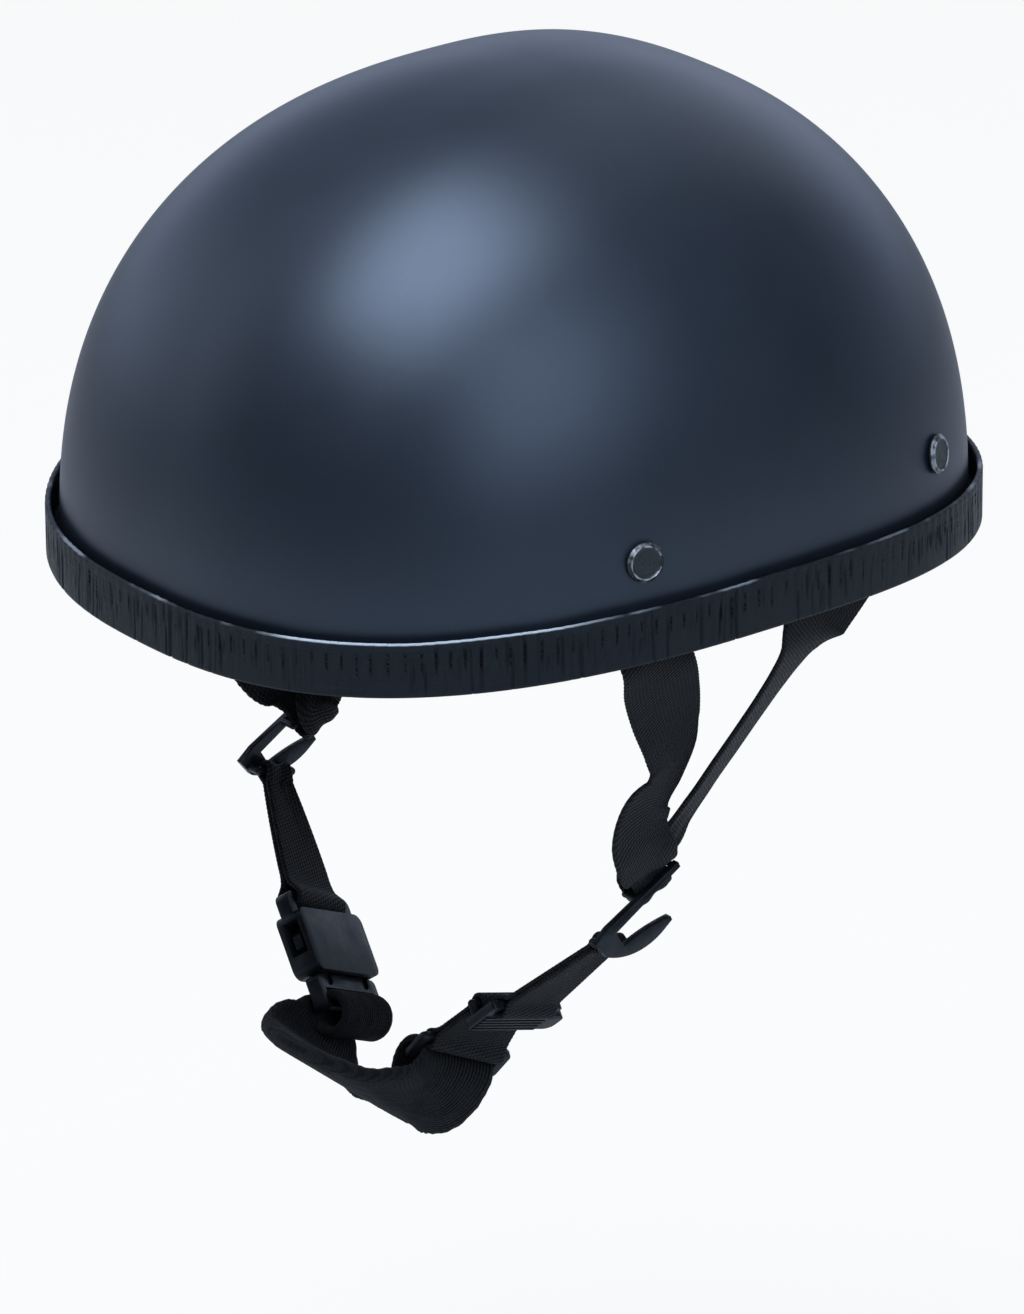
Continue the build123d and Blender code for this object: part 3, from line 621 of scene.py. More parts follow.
def bead_foam():
    """Dark moulded bead foam, with its pressed beads and the gaps between them."""
    look = Look("bead_foam", (0.02, 0.02, 0.022), 0.62)
    beads = look.cells(330)
    seams = look.cells(330, "DISTANCE_TO_EDGE")
    tone = look.mix(look.ramp(look.noise(120), 0.35, 0.7), (0.014, 0.014, 0.016), (0.03, 0.03, 0.033))
    tone = look.mix(look.ramp(seams, 0, 0.06, 1, 0), tone, (0.004, 0.004, 0.005))
    rough = look.ramp(beads, 0, 0.7, 0.5, 0.75)
    pressed = look.ramp(seams, 0, 0.16)
    return look.finished(tone, rough, (pressed, 0.0004, 0.7), (look.noise(1300), 0.0001, 0.4))


def pad_cloth():
    """Brushed black lining cloth over the comfort pads."""
    sheen = {"Sheen Weight": 0.35, "Sheen Roughness": 0.5}
    look = Look("brushed_lining", (0.016, 0.016, 0.018), 0.92, **sheen)
    loops = look.cells(1500)
    nap = look.noise(240, 5, rough=0.7)
    tone = look.mix(look.ramp(loops, 0.1, 0.8), (0.022, 0.022, 0.025), (0.007, 0.007, 0.008))
    tone = look.mix(look.ramp(nap, 0.4, 0.7, 0, 0.6), tone, (0.036, 0.036, 0.041))
    rough = look.ramp(nap, 0.3, 0.7, 0.85, 1)
    return look.finished(tone, rough, (loops, 0.0003, 0.6), (nap, 0.0004, 0.35))


def shell_piece(look):
    """The hard shell, inside and out, with a rounded rim and a hole for each rivet."""
    low = -shell_rim_depth
    inner = dome_rings_from(low + shell_rim_round, shell_wall)
    edge = [dome_rings_from(low, inset)[0] for inset in (shell_wall - shell_rim_round, shell_rim_round)]
    outer = dome_rings_from(low + shell_rim_round, 0)
    poles = [(0, 0, shell_height - shell_wall), (0, 0, shell_height)]
    piece = skin("shell_paint", inner[::-1] + edge + outer, *poles)
    cut(piece, [rivet_cutter(end, side) for end in rivets for side in (1, -1)])
    dress(piece, "root", "shell", look, "shell")


def cut(piece, cutters, solver="EXACT"):
    """Cuts closed meshes away from a piece."""
    for cutter in cutters:
        modifier = piece.modifiers.new("cut", "BOOLEAN")
        modifier.object, modifier.operation, modifier.solver = cutter, "DIFFERENCE", solver
        bpy.context.view_layer.objects.active = piece
        bpy.ops.object.modifier_apply(modifier=modifier.name)
        bpy.data.objects.remove(cutter)


def wall_point(y, z, inset):
    """The place on the left of the surface at inset, given by y and z."""
    share = section_share(z, shell_height - inset)
    left = share**plan_power - (abs(y) / plan_reach(y, inset)) ** plan_power
    return Vector(((shell_half_width - inset) * left ** (1 / plan_power), y, z))


def wall_normal(y, z):
    """Outward direction of the shell on the wearer's left."""
    level = max(z, 0.0) / shell_height
    lean = (1 - level**dome_power) ** (plan_power / crown_power - 1)
    rise = dome_power * level ** (dome_power - 1) / (crown_power * shell_height)
    power = plan_power - 1
    gx = wall_point(y, z, 0).x ** power / shell_half_width**plan_power
    gy = copysign(abs(y) ** power / plan_reach(y, 0) ** plan_power, y)
    return Vector((gx, gy, lean * rise)).normalized()


def square_to(across, along):
    """The part of a width direction that is square to the run."""
    return (across - along * across.dot(along)).normalized()


def flipped(v):
    return Vector((-v.x, v.y, v.z))


def turned(degrees):
    """Straight back, turned in plan away from the wearer's left."""
    c, s = cos_sin(degrees)
    return Vector((s, c, 0))


# Strap ends inside the shell
trim_low = -(shell_rim_depth + trim_slack + trim_web)
trim_leg_inset = shell_wall + trim_slack
strap_top_inset = shell_wall + strap_seat + strap_wall / 2
strap_rim_inset = trim_leg_inset + trim_inner_wall + strap_leg_gap + strap_wall / 2


def end_place(y, z, drop):
    """The strap's middle at a level: it steps in over the trim's leg."""
    low = trim_low + trim_inner_height + drop
    high = min(place[1] for place in rivets.values()) - plate_length / 2
    high = max(high, low + strap_wall)
    share = min(max((z - low) / (high - low), 0), 1)
    return wall_point(y, z, strap_rim_inset + (strap_top_inset - strap_rim_inset) * share)


def end_stations(end):
    """A strap end, from its top edge, flat under the plate, to the rim."""
    (rivet_y, rivet_z), (exit_y, exit_z) = rivets[end], exits[end]
    run = Vector((0, exit_y - rivet_y, exit_z - rivet_z))
    first = plate_length / 2
    falls = [-strap_end_reach, -first]
    falls += [first + (run.length - first) * i / strap_end_steps for i in range(strap_end_steps + 1)]
    stations = []
    for fall in falls:
        y = rivet_y + run.y * fall / run.length
        z = rivet_z + run.z * fall / run.length
        across = run.cross(wall_normal(y, z))
        across = (across if across.y > 0 else -across).normalized()
        drop = abs(across.z) * strap_width / 2
        stations.append((end_place(y, z, drop), across, strap_width))
    return stations


def swing_line():
    """Where the strap bends as it swings out: front place, rear place, axis."""
    front = end_stations("front")[-1][0]
    rim = end_stations("rear")[-1][0]
    rear = rim + (arm_middle - rim) * rear_split_share
    return front, rear, (front - rear).normalized()


arm_along = Vector((0, cos(slider_slope), sin(slider_slope)))
arm_up = Vector((0, -sin(slider_slope), cos(slider_slope)))
turn_middle = arm_bar_radius + turn_slack + strap_wall / 2
arm_bar_stand = slider_wall / 2 + loop_clearance + turn_middle + strap_wall / 2
turn_place = arm_middle + arm_along * arm_bar_back - arm_up * (arm_bar_drop + turn_drop)
turn_place = turn_place - Vector((arm_bar_stand, 0, 0))
eye_inner = loop_bar_radius + loop_clearance
eye_outer = eye_inner + strap_wall


def side_strap_stations():
    """The whole side strap: front rivet, rim, round the slider's arm, rim, rear rivet."""
    front, rear, axis = swing_line()
    stations = end_stations("front")
    stations[-1] = (front, -axis, strap_width)
    end = turn_place + Vector((turn_middle, 0, 0))
    for fall, bow, wave, turn, width in front_run_shares:
        middle = front + (end - front) * fall + Vector((bow, wave, 0)) * strap_width
        stations.append((middle, turned(turn), width * strap_width))
    narrow = loop_width_share * strap_width
    straight = arm_up * turn_straight
    stations.append((end + straight, arm_along, narrow))
    for c, s in map(cos_sin, range(0, 181, 30)):
        out = Vector((c, 0, 0)) - arm_up * s
        stations.append((turn_place + out * turn_middle, arm_along, narrow))
    end = turn_place - Vector((turn_middle, 0, 0))
    stations.append((end + straight, arm_along, narrow))
    for fall, turn, width in rear_run_shares[::-1]:
        stations.append((rear + (end - rear) * fall, turned(turn), width * strap_width))
    stations.append((rear, turned(rear_exit_turn), strap_width))
    return stations + end_stations("rear")[::-1]


def eased(places, values, at):
    """Values eased through stations at places, for a smooth run."""
    values = np.asarray(values, float)
    slope = np.gradient(values, places, axis=0)
    i = np.clip(np.searchsorted(places, at, side="right") - 1, 0, len(places) - 2)
    span = (places[i + 1] - places[i])[:, None]
    t = (at - places[i])[:, None] / span
    a, b = values[i], values[i + 1]
    first, last = slope[i] * span, slope[i + 1] * span
    t2, t3 = t * t, t * t * t
    return a * (2 * t3 - 3 * t2 + 1) + first * (t3 - 2 * t2 + t) + b * (3 * t2 - 2 * t3) + last * (t3 - t2)


def path_lengths(middles):
    """How far along a path each of its places lies."""
    steps = np.linalg.norm(np.diff(middles, axis=0), axis=1)
    return np.concatenate([[0], np.cumsum(steps)])


def unit(rows):
    return rows / np.linalg.norm(rows, axis=-1, keepdims=True)


def smooth_run(stations, step):
    """Even steps along a strap: middles, directions across and out, widths, places."""
    middles = np.array([s[0] for s in stations])
    places = path_lengths(middles)
    at = np.linspace(0, places[-1], int(places[-1] / step) + 1)
    middle = eased(places, middles, at)
    across = unit(eased(places, [s[1] for s in stations], at))
    width = eased(places, [[s[2]] for s in stations], at)[:, 0]
    along = unit(np.gradient(middle, axis=0))
    across = unit(across - along * (across * along).sum(1, keepdims=True))
    return middle, across, np.cross(across, along), width, at


def strap_section(steps):
    """A strap's section in shares: across, which face, and how far round its edge."""
    flat = np.linspace(-1, 1, steps)
    rows = []
    for side in (1, -1):
        rows += [(a, side, 0) for a in flat[::side]]
        rows += [(side, side * s, side * c) for c, s in map(cos_sin, range(60, -61, -30))]
    return np.array(rows, float)


def woven_strap(name, run, wall, lift=None, ribs=0.0, rib_pitch=1.0, steps=26):
    """Webbing along a smooth run, with scalloped selvedges and a lift off its middle."""
    middle, across, out, width, at = run
    wall = np.broadcast_to(np.asarray(wall, float), at.shape)
    section = strap_section(steps)
    rings, runs = [], []
    for i in range(len(at)):
        half = wall[i] / 2
        a = section[:, 0] * (width[i] / 2 - half)
        scallop = weave_depth * sin(2 * pi * at[i] / weave_pitch)
        edge = section[:, 2] * (half + scallop)
        rise = section[:, 1] * half
        if ribs:
            rise = rise + np.sign(section[:, 1]) * ribs * np.cos(2 * pi * a / rib_pitch)
        if lift is not None:
            rise = rise + lift(section[:, 0], at[i] / at[-1], width[i])
        rings.append(middle[i] + np.outer(a + edge, across[i]) + np.outer(rise, out[i]))
        runs.append(np.stack([a + edge, np.full(len(a), at[i]), section[:, 1]], -1))
    return skin(name, rings, runs=runs)


def pleated(share, _, width):
    """Lift of bunched webbing, more where it is narrower than it should be."""
    bunch = max(0.0, 1 - width / strap_width) / (1 - loop_width_share)
    return pleat_depth * bunch * (1 - share**4) * np.cos(2 * pi * pleat_count * share / 2)


def side_straps(look):
    """The side strap of each side, in one piece from rivet to rivet."""
    run = smooth_run(side_strap_stations(), strap_step)
    left = woven_strap("side_webbing_left", run, strap_wall, pleated)
    right = put("side_webbing_right", mirror(left.data.copy()))
    left.data.materials.append(look)
    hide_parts("side_strap_left", "front_strap_end_left", "rear_strap_end_left")
    _, rear, axis = swing_line()
    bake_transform(left)
    dress(right, "root", "webbing", look, "side_strap_right")


def looped_run(start, end, layer):
    """Webbing that goes round two bars, its two layers sewn flat between them.

    Each end is the bar's middle, its direction, the eye's width and its inner radius.
    """
    (a, a_across, a_width, a_inner), (b, b_across, b_width, b_inner) = start, end
    along = (b - a).normalized()
    length = (b - a).length

    def station(place, offset, ahead=None):
        across = square_to(a_across * (1 - place) + b_across * place, along)
        out = along.cross(across)
        width = a_width + (b_width - a_width) * min(max(place, 0), 1)
        centre = a + along * (length * place if ahead is None else ahead)
        return (centre + out * offset, across, width)

    radius = (a_inner + layer / 2, b_inner + layer / 2)

    def offset(place):
        near = max(0.0, 1 - place * length / (loop_reach * radius[0])) ** 2
        far = max(0.0, 1 - (1 - place) * length / (loop_reach * radius[1])) ** 2
        return layer / 2 + (radius[0] - layer / 2) * near + (radius[1] - layer / 2) * far

    stations = []
    for end, side in ((1, 1), (0, -1)):
        stations += [station(place, side * offset(place)) for place in loop_shares[::side]]
        for c, s in map(cos_sin, range(75, -76, -25)):
            ahead = length * end + side * radius[end] * c
            stations.append(station(end, side * radius[end] * s, ahead))
    return stations + [stations[0]]


# The chin strap's places and directions, from the slider's bar down to the cup's bar
chin_top = arm_middle + arm_along * (slider_loop_shares[0] * slider_length)
chin_top = chin_top + arm_up * (slider_loop_shares[1] * slider_depth)
chin_top = chin_top - Vector((slider_wall / 2 + loop_clearance + eye_outer, 0, 0))
chin_run = cup_bar_left - chin_top
chin_along = chin_run.normalized()
top_across = square_to(Vector((0, 1, 0)), Vector((0, chin_along.y, chin_along.z)).normalized())
cup_across = Vector((0, cos(cup_tilt), -sin(cup_tilt)))
lock_across = square_to(turned(lock_turn) * cos(lock_tilt) - Vector((0, 0, sin(lock_tilt))), chin_along)
lock_eye = hypot(lock_bar, lock_wall) / 2 + loop_clearance
lock_slot = lock_eye + strap_wall - lock_bar / 2 + loop_clearance
lock_top = chin_top + chin_along * (chin_run.length * lock_share - lock_slot)
lock_low = lock_top + chin_along * (lock_bar / 2 + lock_slot + lock_plate / 2)
lock_low = lock_low - chin_along.cross(lock_across) * (lock_wall / 2 + loop_clearance + eye_outer)
ring_along = (cup_bar_left - lock_low).normalized()
ring_across = square_to(cup_across, ring_along)
ring_eye = hypot(ring_bar, ring_wall) / 2 + loop_clearance
eye_middle = cup_eye_inner - ring_eye
eye_rise = cup_eye_inner + cup_eye_wall - eye_middle
ring_top = cup_bar_left - ring_along * (eye_rise + ring_eye + strap_wall + loop_clearance)
cup_eye_width = ring_width - 2 * (ring_bar + loop_clearance)
cup_bar_right = flipped(cup_bar_left)


def buckle_frame():
    """The buckle's mouth, the way the insert draws out and the direction across it."""
    origin, _, axis = swing_line()
    insert_slot = eye_rise - buckle_bar / 2 + loop_clearance
    bar_y = insert_gap + insert_neck + insert_slot + buckle_bar / 2
    arm = cup_bar_right - origin
    arm = arm - axis * arm.dot(axis)
    tangent = axis.cross(arm).normalized()
    lever = (bar_y + tongue_length / 2) / arm.length
    along = (tangent * sqrt(1 - lever**2) + arm.normalized() * lever).normalized()
    return cup_bar_right - along * bar_y, along, square_to(cup_across, along)


def chin_straps(look):
    """The chin strap's three lengths of webbing, each sewn round two bars."""
    top = (chin_top, top_across, chin_eye_width, eye_inner)
    lock = (lock_top, lock_across, lock_eye_width, lock_eye)
    low = (lock_low, lock_across, lock_eye_width, eye_inner)
    ring = (ring_top, ring_across, cup_eye_width, ring_eye)
    origin, along, across = buckle_frame()
    socket_eye = hypot(buckle_bar, socket_tail_wall) / 2 + loop_clearance
    socket_slot = socket_eye + strap_wall - buckle_bar / 2 + loop_clearance
    socket_length = socket_cavity_depth + socket_back_wall + socket_slot + buckle_bar
    socket = (origin + along * (buckle_bar / 2 - socket_length), across, strap_width, socket_eye)
    right = (flipped(top[0]), flipped(top[1]), chin_eye_width, eye_inner)
    for name, body, node, start, end in (
        ("chin_webbing_left", "left_harness", "chin_strap_left", top, lock),
        ("cup_webbing", "left_harness", "cup_strap", low, ring),
        ("chin_webbing_right", "root", "chin_strap_right", right, socket),
    ):
        run = smooth_run(looped_run(start, end, chin_layer_wall / 2), strap_step)
        dress(woven_strap(name, run, chin_layer_wall / 2, folded), body, "webbing", look, node)


def folded(share, _, width):
    """Lift of webbing that is folded lengthwise where it is narrow."""
    fold = max(0.0, 1 - width / lock_eye_width)
    return chin_fold_depth * fold * np.clip(1 - abs(share - 0.25), 0, 1)


def cup_run():
    """The cup's band, from the fold round one bar to the fold round the other."""
    narrow = cup_eye_width / cup_width
    down = Vector((0, -sin(cup_tilt), -cos(cup_tilt)))
    snug = cup_eye_inner + cup_eye_wall / 2
    halves = []
    for side, bar, way, radius, wrap, lean in (
        (1, cup_bar_left, ring_along, cup_mouth_radius, cup_mouth_wrap, 0),
        (-1, cup_bar_right, buckle_frame()[1], snug, cup_snug_wrap, cup_lean),
    ):
        rows = []
        for bow, drop, flare in cup_shares:
            low = down * (cup_sag * drop) - cup_across * (cup_forward * flare)
            middle = Vector((side * cup_bar_left.x * (bow - lean), cup_bar_left.y, cup_bar_left.z)) + low
            rows.append((middle, cup_across, cup_width * (narrow + (1 - narrow) * flare), 1.0))
        across = square_to(cup_across, way)
        middle = bar + way * (eye_middle + radius - snug)
        down_way = square_to(rows[0][0] - middle, across)
        outward = across.cross(down_way)
        outward = outward if outward.x * side > 0 else -outward
        fold = []
        for c, s in map(cos_sin, range(0, wrap + 1, 20)):
            out = outward * c - down_way * s
            fold.append((middle + out * radius, across, cup_eye_width, cup_eye_wall / cup_wall))
        halves.append(fold[::-1] + rows)
    return halves[0] + halves[1][::-1]


def chin_cup(look):
    """The ribbed chin cup: one band folded round a bar at each end."""
    rows = cup_run()
    run = smooth_run([row[:3] for row in rows], cup_step)
    lengths = path_lengths(np.array([row[0] for row in rows]))
    wall = cup_wall * np.interp(run[4], lengths, [row[3] for row in rows])
    ribs = {"ribs": cup_rib_depth, "rib_pitch": cup_rib_pitch, "steps": cup_section_steps}
    piece = woven_strap("chin_cup_band", run, wall, **ribs)
    dress(piece, "left_harness", "cup", look, "chin_cup")


def rim_steps(count):
    """Plan angles at even steps round the rim, and the way gone at each."""
    angle = np.linspace(0, 2 * pi, 4 * dome_turns)
    x, y = plan_places(angle, 0)
    length = np.concatenate([[0], np.cumsum(np.hypot(np.diff(x), np.diff(y)))])
    even = np.linspace(0, length[-1], count, endpoint=False)
    return np.interp(even, length, angle), even, length[-1]


def trim_section():
    """The rim strip's section as insets, heights and how much each place crinkles."""
    outer, lip, foot = -trim_stand_off, -trim_stand_off + trim_lip_wall, trim_low + trim_grip_height
    leg = trim_leg_inset + trim_inner_wall
    top, web, leg_top = trim_low + trim_height, trim_low + trim_web, trim_low + trim_inner_height
    bend = trim_lip_wall / 2
    rows = [(outer, trim_low + bend + (trim_height - 2 * bend) * i / 24, 1.0) for i in range(25)]
    for c, s in map(cos_sin, range(30, 151, 30)):
        rows.append((outer + bend * (1 - c), top - bend * (1 - s), 0.8))
    rows += [(lip, top - bend - (top - bend - foot - bend) * i / 6, 0.5) for i in range(7)]
    rows += [(lip + bend / 2, foot, 0.2), (-trim_slack, foot, 0), (-trim_slack, web, 0)]
    rows += [(trim_leg_inset, web, 0), (trim_leg_inset, leg_top - bend, 0)]
    rows += [(trim_leg_inset + bend / 2, leg_top, 0), (leg - bend / 2, leg_top, 0)]
    rows += [(leg, leg_top - bend - (leg_top - trim_low - 2 * bend) * i / 5, 0.4) for i in range(6)]
    rows += [(leg - bend + (outer - leg + 2 * bend) * i / 8, trim_low, 0.5) for i in range(9)]
    return rows + [(outer + bend * 0.3, trim_low + bend * 0.3, 0.8)]


def edge_trim(look):
    """The crinkled vinyl strip round the rim, with puckers that run up and down."""
    angle, way, length = rim_steps(trim_turns)
    draw = np.random.default_rng(11)
    count = int(length / trim_crinkle_pitch)
    spots = np.cumsum(draw.uniform(*trim_crinkle_gaps, count) * trim_crinkle_pitch)
    depths = draw.uniform(*trim_crinkle_depths, count) ** 2 * trim_crinkle_depth * 2
    widths = draw.uniform(*trim_crinkle_widths, count) * trim_crinkle_pitch
    tops, lows = (draw.uniform(*span, count) for span in (trim_crinkle_tops, trim_crinkle_lows))
    leans = draw.normal(0, trim_crinkle_lean, count)
    x, y = plan_places(angle, 0)
    flow = np.stack([x, y, 0 * x], -1)
    patch = np.clip(0.8 + smooth_noise(flow, trim_patch_size, 4.0), 0.35, 1.4)
    sway = smooth_noise(flow, trim_sway_size, 9.0)
    rings, runs = [], []
    for inset, height, share in trim_section():
        level = (height - trim_low) / trim_height
        dent = np.zeros(trim_turns)
        if share:
            reach = np.clip((tops - level) * 6, 0, 1) * np.clip((level - lows) * 6, 0, 1)
            for spot, depth, width, lean in zip(spots, depths * reach, widths, leans):
                gone = (way - spot - lean * level + length / 2) % length - length / 2
                near = abs(gone) < 4 * width
                dent[near] += depth * np.exp(-((gone[near] / width) ** 2))
            pucker = np.sin(2 * pi * way / trim_pucker_pitch + 2.5 * sway + level)
            dent = share * patch * (dent + trim_pucker_depth * 0.2 * pucker * level)
            dent += share * trim_wave * sway * level
        px, py = plan_places(angle, inset + dent)
        rise = height + rim_level(py) + trim_wave * 0.6 * smooth_noise(flow, trim_ripple_size, 2.0) * level
        rings.append(np.stack([px, py, rise], -1))
        runs.append(np.stack([np.full(trim_turns, height + inset), way, np.full(trim_turns, level)], -1))
    dress(skin("edge_trim_vinyl", rings, runs=runs, loop=True), "root", "trim", look, "edge_trim")


liner_outer = shell_wall + liner_gap
liner_inner = liner_outer + liner_wall
liner_low = trim_low + trim_inner_height + liner_rise
pad_outer = liner_inner + pad_gap


def strap_pocket(end):
    """Room in the foam for a left strap end, its plate and its rivet."""
    depth = strap_wall + plate_gap + plate_wall + rivet_tail_height + strap_pocket_clearance
    stations = end_stations(end)
    middles = [station[0] for station in stations]
    middles[0] = middles[0] + (middles[0] - middles[1]).normalized() * strap_pocket_clearance
    rings = []
    for i, (_, across, width) in enumerate(stations):
        along = (middles[min(i + 1, len(middles) - 1)] - middles[max(i - 1, 0)]).normalized()
        across = square_to(across, along)
        out = across.cross(along) * depth
        across = across * (width / 2 + strap_pocket_clearance)
        rings.append([middles[i] + across * a + out * b for a, b in ((-1, -1), (1, -1), (1, 1), (-1, 1))])
    return skin("pocket", rings)


def foam_liner(look):
    """The moulded foam cap inside the shell, with rounded rims and pockets for the straps."""
    foot = liner_low + liner_round
    outer, inner = (dome_rings_from(foot, inset) for inset in (liner_outer, liner_inner))
    rim = []
    for inset, way, turns in ((liner_inner, -1, (30, 60, 90)), (liner_outer, 1, (90, 60, 30))):
        for c, s in map(cos_sin, turns):
            rim.append(dome_rings_from(foot - liner_round * s, inset + way * liner_round * (1 - c))[0])
    poles = [(0, 0, shell_height - liner_inner), (0, 0, shell_height - liner_outer)]
    piece = skin("foam_cap", inner[::-1] + rim + outer, *poles)
    for _ in range(2):
        cut(piece, [strap_pocket(end) for end in rivets], "FAST")
        mirror(piece.data)
    dress(piece, "root", "foam", look, "foam_liner")


def crown_pad(look):
    """The crown pad: petals that swell between channels sewn across each other."""
    angle = around(crown_pad_turns)
    lines = pi * np.arange(crown_channels) / crown_channels
    face = pad_outer + crown_pad_wall
    levels = dome_levels(shell_height - pad_outer, crown_pad_start, crown_pad_rings)
    back = [dome_places(angle, z, pad_outer) for z in levels]
    front = []
    for i, z in enumerate(dome_levels(shell_height - face, crown_pad_start, crown_pad_rings)):
        full = dome_places(angle, z, face)
        near = abs(np.outer(np.sin(lines), full[:, 0]) - np.outer(np.cos(lines), full[:, 1])).min(0)
        channel = crown_channel_depth * np.exp(-((near / crown_channel_half) ** 2))
        edge = crown_edge_depth * (1 - min(1.0, i / crown_edge_rings)) ** 2
        outward = unit(full + np.array([0, 0, crown_centre_depth]))
        front.append(full + outward * (channel + edge)[:, None])
    poles = [(0, 0, shell_height - pad_outer), (0, 0, shell_height - face + crown_channel_depth)]
    piece = skin("crown_cushion", back[::-1] + front, *poles)
    dress(piece, "root", "pad", look, "crown_pad")


def band_pad(name, first, last, look, node):
    """A cushion of the head band, between two plan angles, swollen between its seams."""
    angle = np.linspace(first, last, band_pad_turns)
    share = np.linspace(-1, 1, band_pad_turns)
    end = (1 - abs(share) ** band_pad_end_power) ** (1 / 2)
    seam = 1 + band_pad_swell * np.cos(share * pi * 5)
    foot = liner_low + band_pad_height / 2 + rim_level(plan_places(angle, pad_outer)[1])
    rings = []
    for k in range(2 * band_pad_rings):
        turn = pi * k / band_pad_rings
        up = copysign(abs(cos(turn)) ** 0.7, cos(turn))
        deep = copysign(abs(sin(turn)) ** 0.6, sin(turn))
        z = foot + band_pad_height / 2 * (0.93 + 0.07 * end) * up
        bulge = band_pad_wall / 2 * deep * (0.25 + 0.75 * end) * (seam if deep > 0 else 1)
        rings.append(dome_places(angle, z, pad_outer + band_pad_wall / 2 + bulge))
    piece = skin(name, np.array(rings).transpose(1, 0, 2))
    dress(piece, "root", "pad", look, node)


def split_angle(x, way):
    """The plan angle, front (-1) or rear (1), where the band pads are x from the centre."""
    angle = np.linspace(0, pi / 2, split_steps) * way
    places, _ = plan_places(angle, pad_outer + band_pad_wall / 2)
    places = places * section_share(liner_low + band_pad_height / 2, shell_height - pad_outer)
    return float(np.interp(-x, -places, angle))


def band_pads(look):
    """Brow, back and temple pads round the head."""
    gaps = (0, band_pad_split)
    brow, temple_front = (split_angle(brow_pad_half_width + gap, -1) for gap in gaps)
    nape, temple_back = (split_angle(rear_pad_half_width + gap, 1) for gap in gaps)
    band_pad("brow_cushion", -pi - brow, brow, look, "brow_pad")
    band_pad("nape_cushion", nape, pi - nape, look, "rear_pad")
    band_pad("temple_cushion_left", temple_front, temple_back, look, "side_pad_left")
    band_pad("temple_cushion_right", pi - temple_back, pi - temple_front, look, "side_pad_right")


def plate_place(end):
    """The middle of the anchor plate's inner face and its outward direction."""
    above, below = end_stations(end)[1:3]
    along = (below[0] - above[0]).normalized()
    across = square_to(above[1] + below[1], along)
    out = across.cross(along)
    out = out if out.x > 0 else -out
    return (above[0] + below[0]) * 0.5 - out * (strap_wall / 2 + plate_gap + plate_wall), out


def placed(piece, origin, axis, side):
    """Turns a piece's +Z to an axis, moves it there and, on the right side, mirrors it."""
    turn = axis.to_track_quat("Z", "Y").to_matrix().to_4x4()
    piece.data.transform(Matrix.Translation(origin) @ turn)
    if side < 0:
        mirror(piece.data)
    return piece


def rivet_cutter(end, side):
    """The hole for a rivet's shank."""
    rings = [circle(rivet_shank_radius + rivet_clearance, z, 32) for z in (-liner_wall / 2, trim_stand_off)]
    return placed(skin("hole", rings), wall_point(*rivets[end], 0), plate_place(end)[1], side)


def rivet(end, side, look):
    """A rivet: a beaten flat cap in a rolled rim, a shank and an upset tail."""
    point = wall_point(*rivets[end], 0)
    seat, axis = plate_place(end)
    tail = -((point - seat).dot(axis) + rivet_clearance)
    low, top = rivet_head_seat, rivet_head_seat + rivet_head_height
    shoulder = low + rivet_head_height * 0.45
    head, rim, lip = rivet_head_radius, rivet_head_radius * 0.86, rivet_lip
    profile = [  # radius, height, wear
        (0.0001, tail - rivet_tail_height, 0),
        (rivet_tail_radius * 0.8, tail - rivet_tail_height, 0),
        (rivet_tail_radius, tail - rivet_tail_height * 0.7, 0),
        (rivet_tail_radius, tail, 0),
        (rivet_shank_radius, tail, 0),
        (rivet_shank_radius, low, 0),
        (head * 0.97, low, 0),
        (head, low + lip, 0.2),
        (head, shoulder, 0.45),
        (head * 0.985, shoulder + lip / 2, 0.6),
    ]
    for c, s in map(cos_sin, range(0, 181, 20)):
        profile.append((rim - lip / 2 + lip / 2 * c, top - lip / 2 * (1 - s), 0.5 + 0.5 * s))
    for i in range(1, 9):
        profile.append(((rim - lip) * (1 - i / 8.3), top - lip * (0.62 - 0.1 * i / 8), 0.12))
    rings, runs = [], []
    for radius, z, wear in profile:
        ring = circle(radius, z, rivet_turns)
        if wear:
            dent = smooth_noise(ring, rivet_dent_size, 3.0 + side + point.y * 100)
            ring[:, 2] += rivet_dent * dent
            ring[:, :2] *= 1 + rivet_dent * 8 * dent[:, None]
        rings.append(ring)
        runs.append(np.stack([ring[:, 0], ring[:, 1], np.full(rivet_turns, wear)], -1))
    name = "left" if side > 0 else "right"
    piece = placed(skin(f"{end}_rivet_cap_{name}", rings, runs=runs), point, axis, side)
    dress(piece, "root", "rivet", look, f"{end}_rivet_{name}")


def finish_nodes(looks):
    """Looks for the CAD pieces that stay as they are, with their edges eased."""
    buckle = [f"buckle_{part}" for part in ("socket", "insert", "prong_front", "prong_rear")]
    kept = {
        "slider": ("slider_left", "slider_right"),
        "hardware": ["strap_adjuster", *buckle],
        "ring": ("cup_ring",),
        "plate": [f"{end}_anchor_plate_{side}" for end in rivets for side in ("left", "right")],
    }
    for look, nodes in kept.items():
        for name in nodes:
            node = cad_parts[name]
            node.data.materials.clear()
            node.data.materials.append(looks[look])
            weld = node.modifiers.new("weld", "WELD")
            weld.merge_threshold = weld_distance
            bevel = node.modifiers.new("bevel", "BEVEL")
            bevel.width, bevel.segments, bevel.limit_method = edge_round, 2, "ANGLE"
            bevel.angle_limit = sharp_angle
            bevel.harden_normals = True
            node.data.shade_smooth()


def way_to(azimuth, elevation):
    """Direction from the helmet, by degrees round from the front to the left, and degrees up."""
    (c, s), (flat, up) = cos_sin(azimuth), cos_sin(elevation)
    return Vector((s * flat, -c * flat, up))


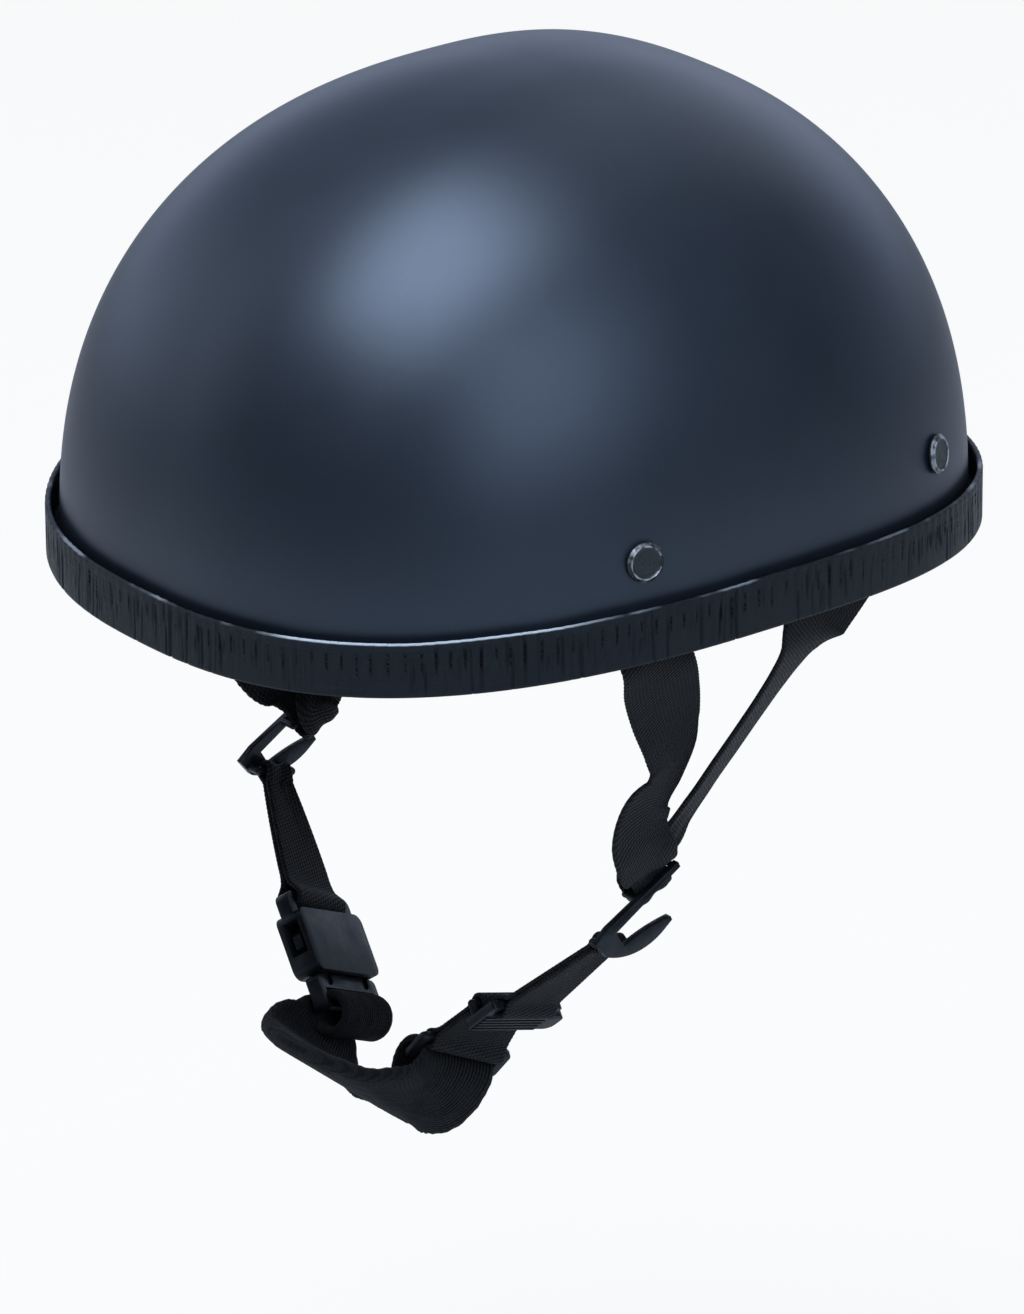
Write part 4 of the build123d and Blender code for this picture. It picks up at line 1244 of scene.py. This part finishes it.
def camera():
    """The photograph's camera: a long lens, above and to the wearer's left."""
    back = way_to(camera_azimuth, camera_elevation)
    right = Vector((*cos_sin(camera_azimuth), 0))
    up = back.cross(right)
    c, s = cos_sin(camera_roll)
    right, up = right * c + up * s, up * c - right * s
    data = bpy.data.cameras.new("camera")
    data.sensor_fit, data.sensor_height = "VERTICAL", camera_sensor
    data.lens = camera_focus / photo_height * camera_sensor
    data.clip_end = camera_reach
    eye = put("camera", data)
    turn = Matrix((right, up, back)).transposed().to_4x4()
    eye.matrix_world = Matrix.Translation(camera_target + back * camera_distance) @ turn
    bpy.context.scene.camera = eye


def soft_light(name, azimuth, elevation, distance, size, power, colour):
    """A square soft light that faces the helmet, placed by the way it lies from there."""
    back = way_to(azimuth, elevation)
    data = bpy.data.lights.new(name, "AREA")
    data.size, data.energy, data.color = size, power, colour
    lamp = put(name, data)
    lamp.location = light_target + back * distance
    lamp.rotation_mode = "QUATERNION"
    lamp.rotation_quaternion = back.to_track_quat("Z", "Y")


def surround():
    """White to the camera, a tinted backdrop in reflections, plain light for the rest."""
    world = bpy.data.worlds.new("surround")
    world.use_nodes = True
    sky = Nodes(world.node_tree)
    rays = sky.node("LightPath").outputs
    seen = rays["Is Camera Ray"]
    mirrored = sky.math("MAXIMUM", seen, rays["Is Glossy Ray"])
    mirrored = sky.math("MAXIMUM", mirrored, rays["Is Transmission Ray"])
    way = sky.node("TexCoord").outputs["Generated"]
    height = sky.node("SeparateXYZ", {0: way}).outputs[2]
    backdrop = {0: way, 1: way_to(backdrop_azimuth, 0)}
    facing = sky.node("VectorMath", backdrop, operation="DOT_PRODUCT").outputs["Value"]
    wall = sky.ramp(facing, backdrop_start, backdrop_full, room_share, 1.0)
    below = sky.ramp(height, ceiling_start, ceiling_full, 1.0, room_share)
    strength = sky.math("MAXIMUM", sky.times(wall, below), seen)
    tint = sky.mix(seen, backdrop_tint, (1, 1, 1))
    plain = {"Color": (*surround_colour, 1), "Strength": surround_strength}
    white = {"Color": tint, "Strength": strength}
    plain, white = (sky.node("Background", inputs).outputs[0] for inputs in (plain, white))
    sky.surface(sky.node("MixShader", {0: mirrored, 1: plain, 2: white}).outputs[0], "World Output")
    return world


def room():
    """A pale floor, a white surround and soft lamps."""
    floor = skin("floor", [[(-1, -1, 0), (1, -1, 0)], [(-1, 1, 0), (1, 1, 0)]], closed=False)
    floor.data.transform(Matrix.Diagonal((floor_size, floor_size, 1, 1)))
    floor.data.transform(Matrix.Translation((0, 0, floor_level)))
    look = Look("pale_floor", floor_colour, 0.9)
    look.bump((look.noise(9.0, 4.0), 0.002, 0.1))
    glow = look.node("Emission", {"Color": (1, 1, 1, 1), "Strength": 1.0}).outputs[0]
    share = look.times(look.node("LightPath").outputs["Is Camera Ray"], floor_glow)
    both = look.node("MixShader", {0: share, 1: look.shader.outputs[0], 2: glow}).outputs[0]
    look.surface(both, "Material Output")
    floor.data.materials.append(look.material)
    bpy.context.scene.world = surround()
    for lamp in lamps:
        soft_light(*lamp)
    bpy.context.scene.view_settings.view_transform = "Standard"


def build():
    """Every piece in turn."""
    camera()
    room()
    looks = {
        use: moulded_plastic(f"{name}_plastic", low, high, smooth, rough)
        for use, name, low, high, smooth, rough in plastics
    }
    looks["plate"] = plated_steel()
    shell_piece(shell_paint())
    edge_trim(trim_vinyl())
    foam_liner(bead_foam())
    lining = pad_cloth()
    crown_pad(lining)
    band_pads(lining)
    metal = blackened_metal()
    for end in rivets:
        for side in (1, -1):
            rivet(end, side, metal)
    webbing = webbing_cloth()
    side_straps(webbing)
    chin_straps(webbing)
    chin_cup(cup_cloth())
    finish_nodes(looks)


build()
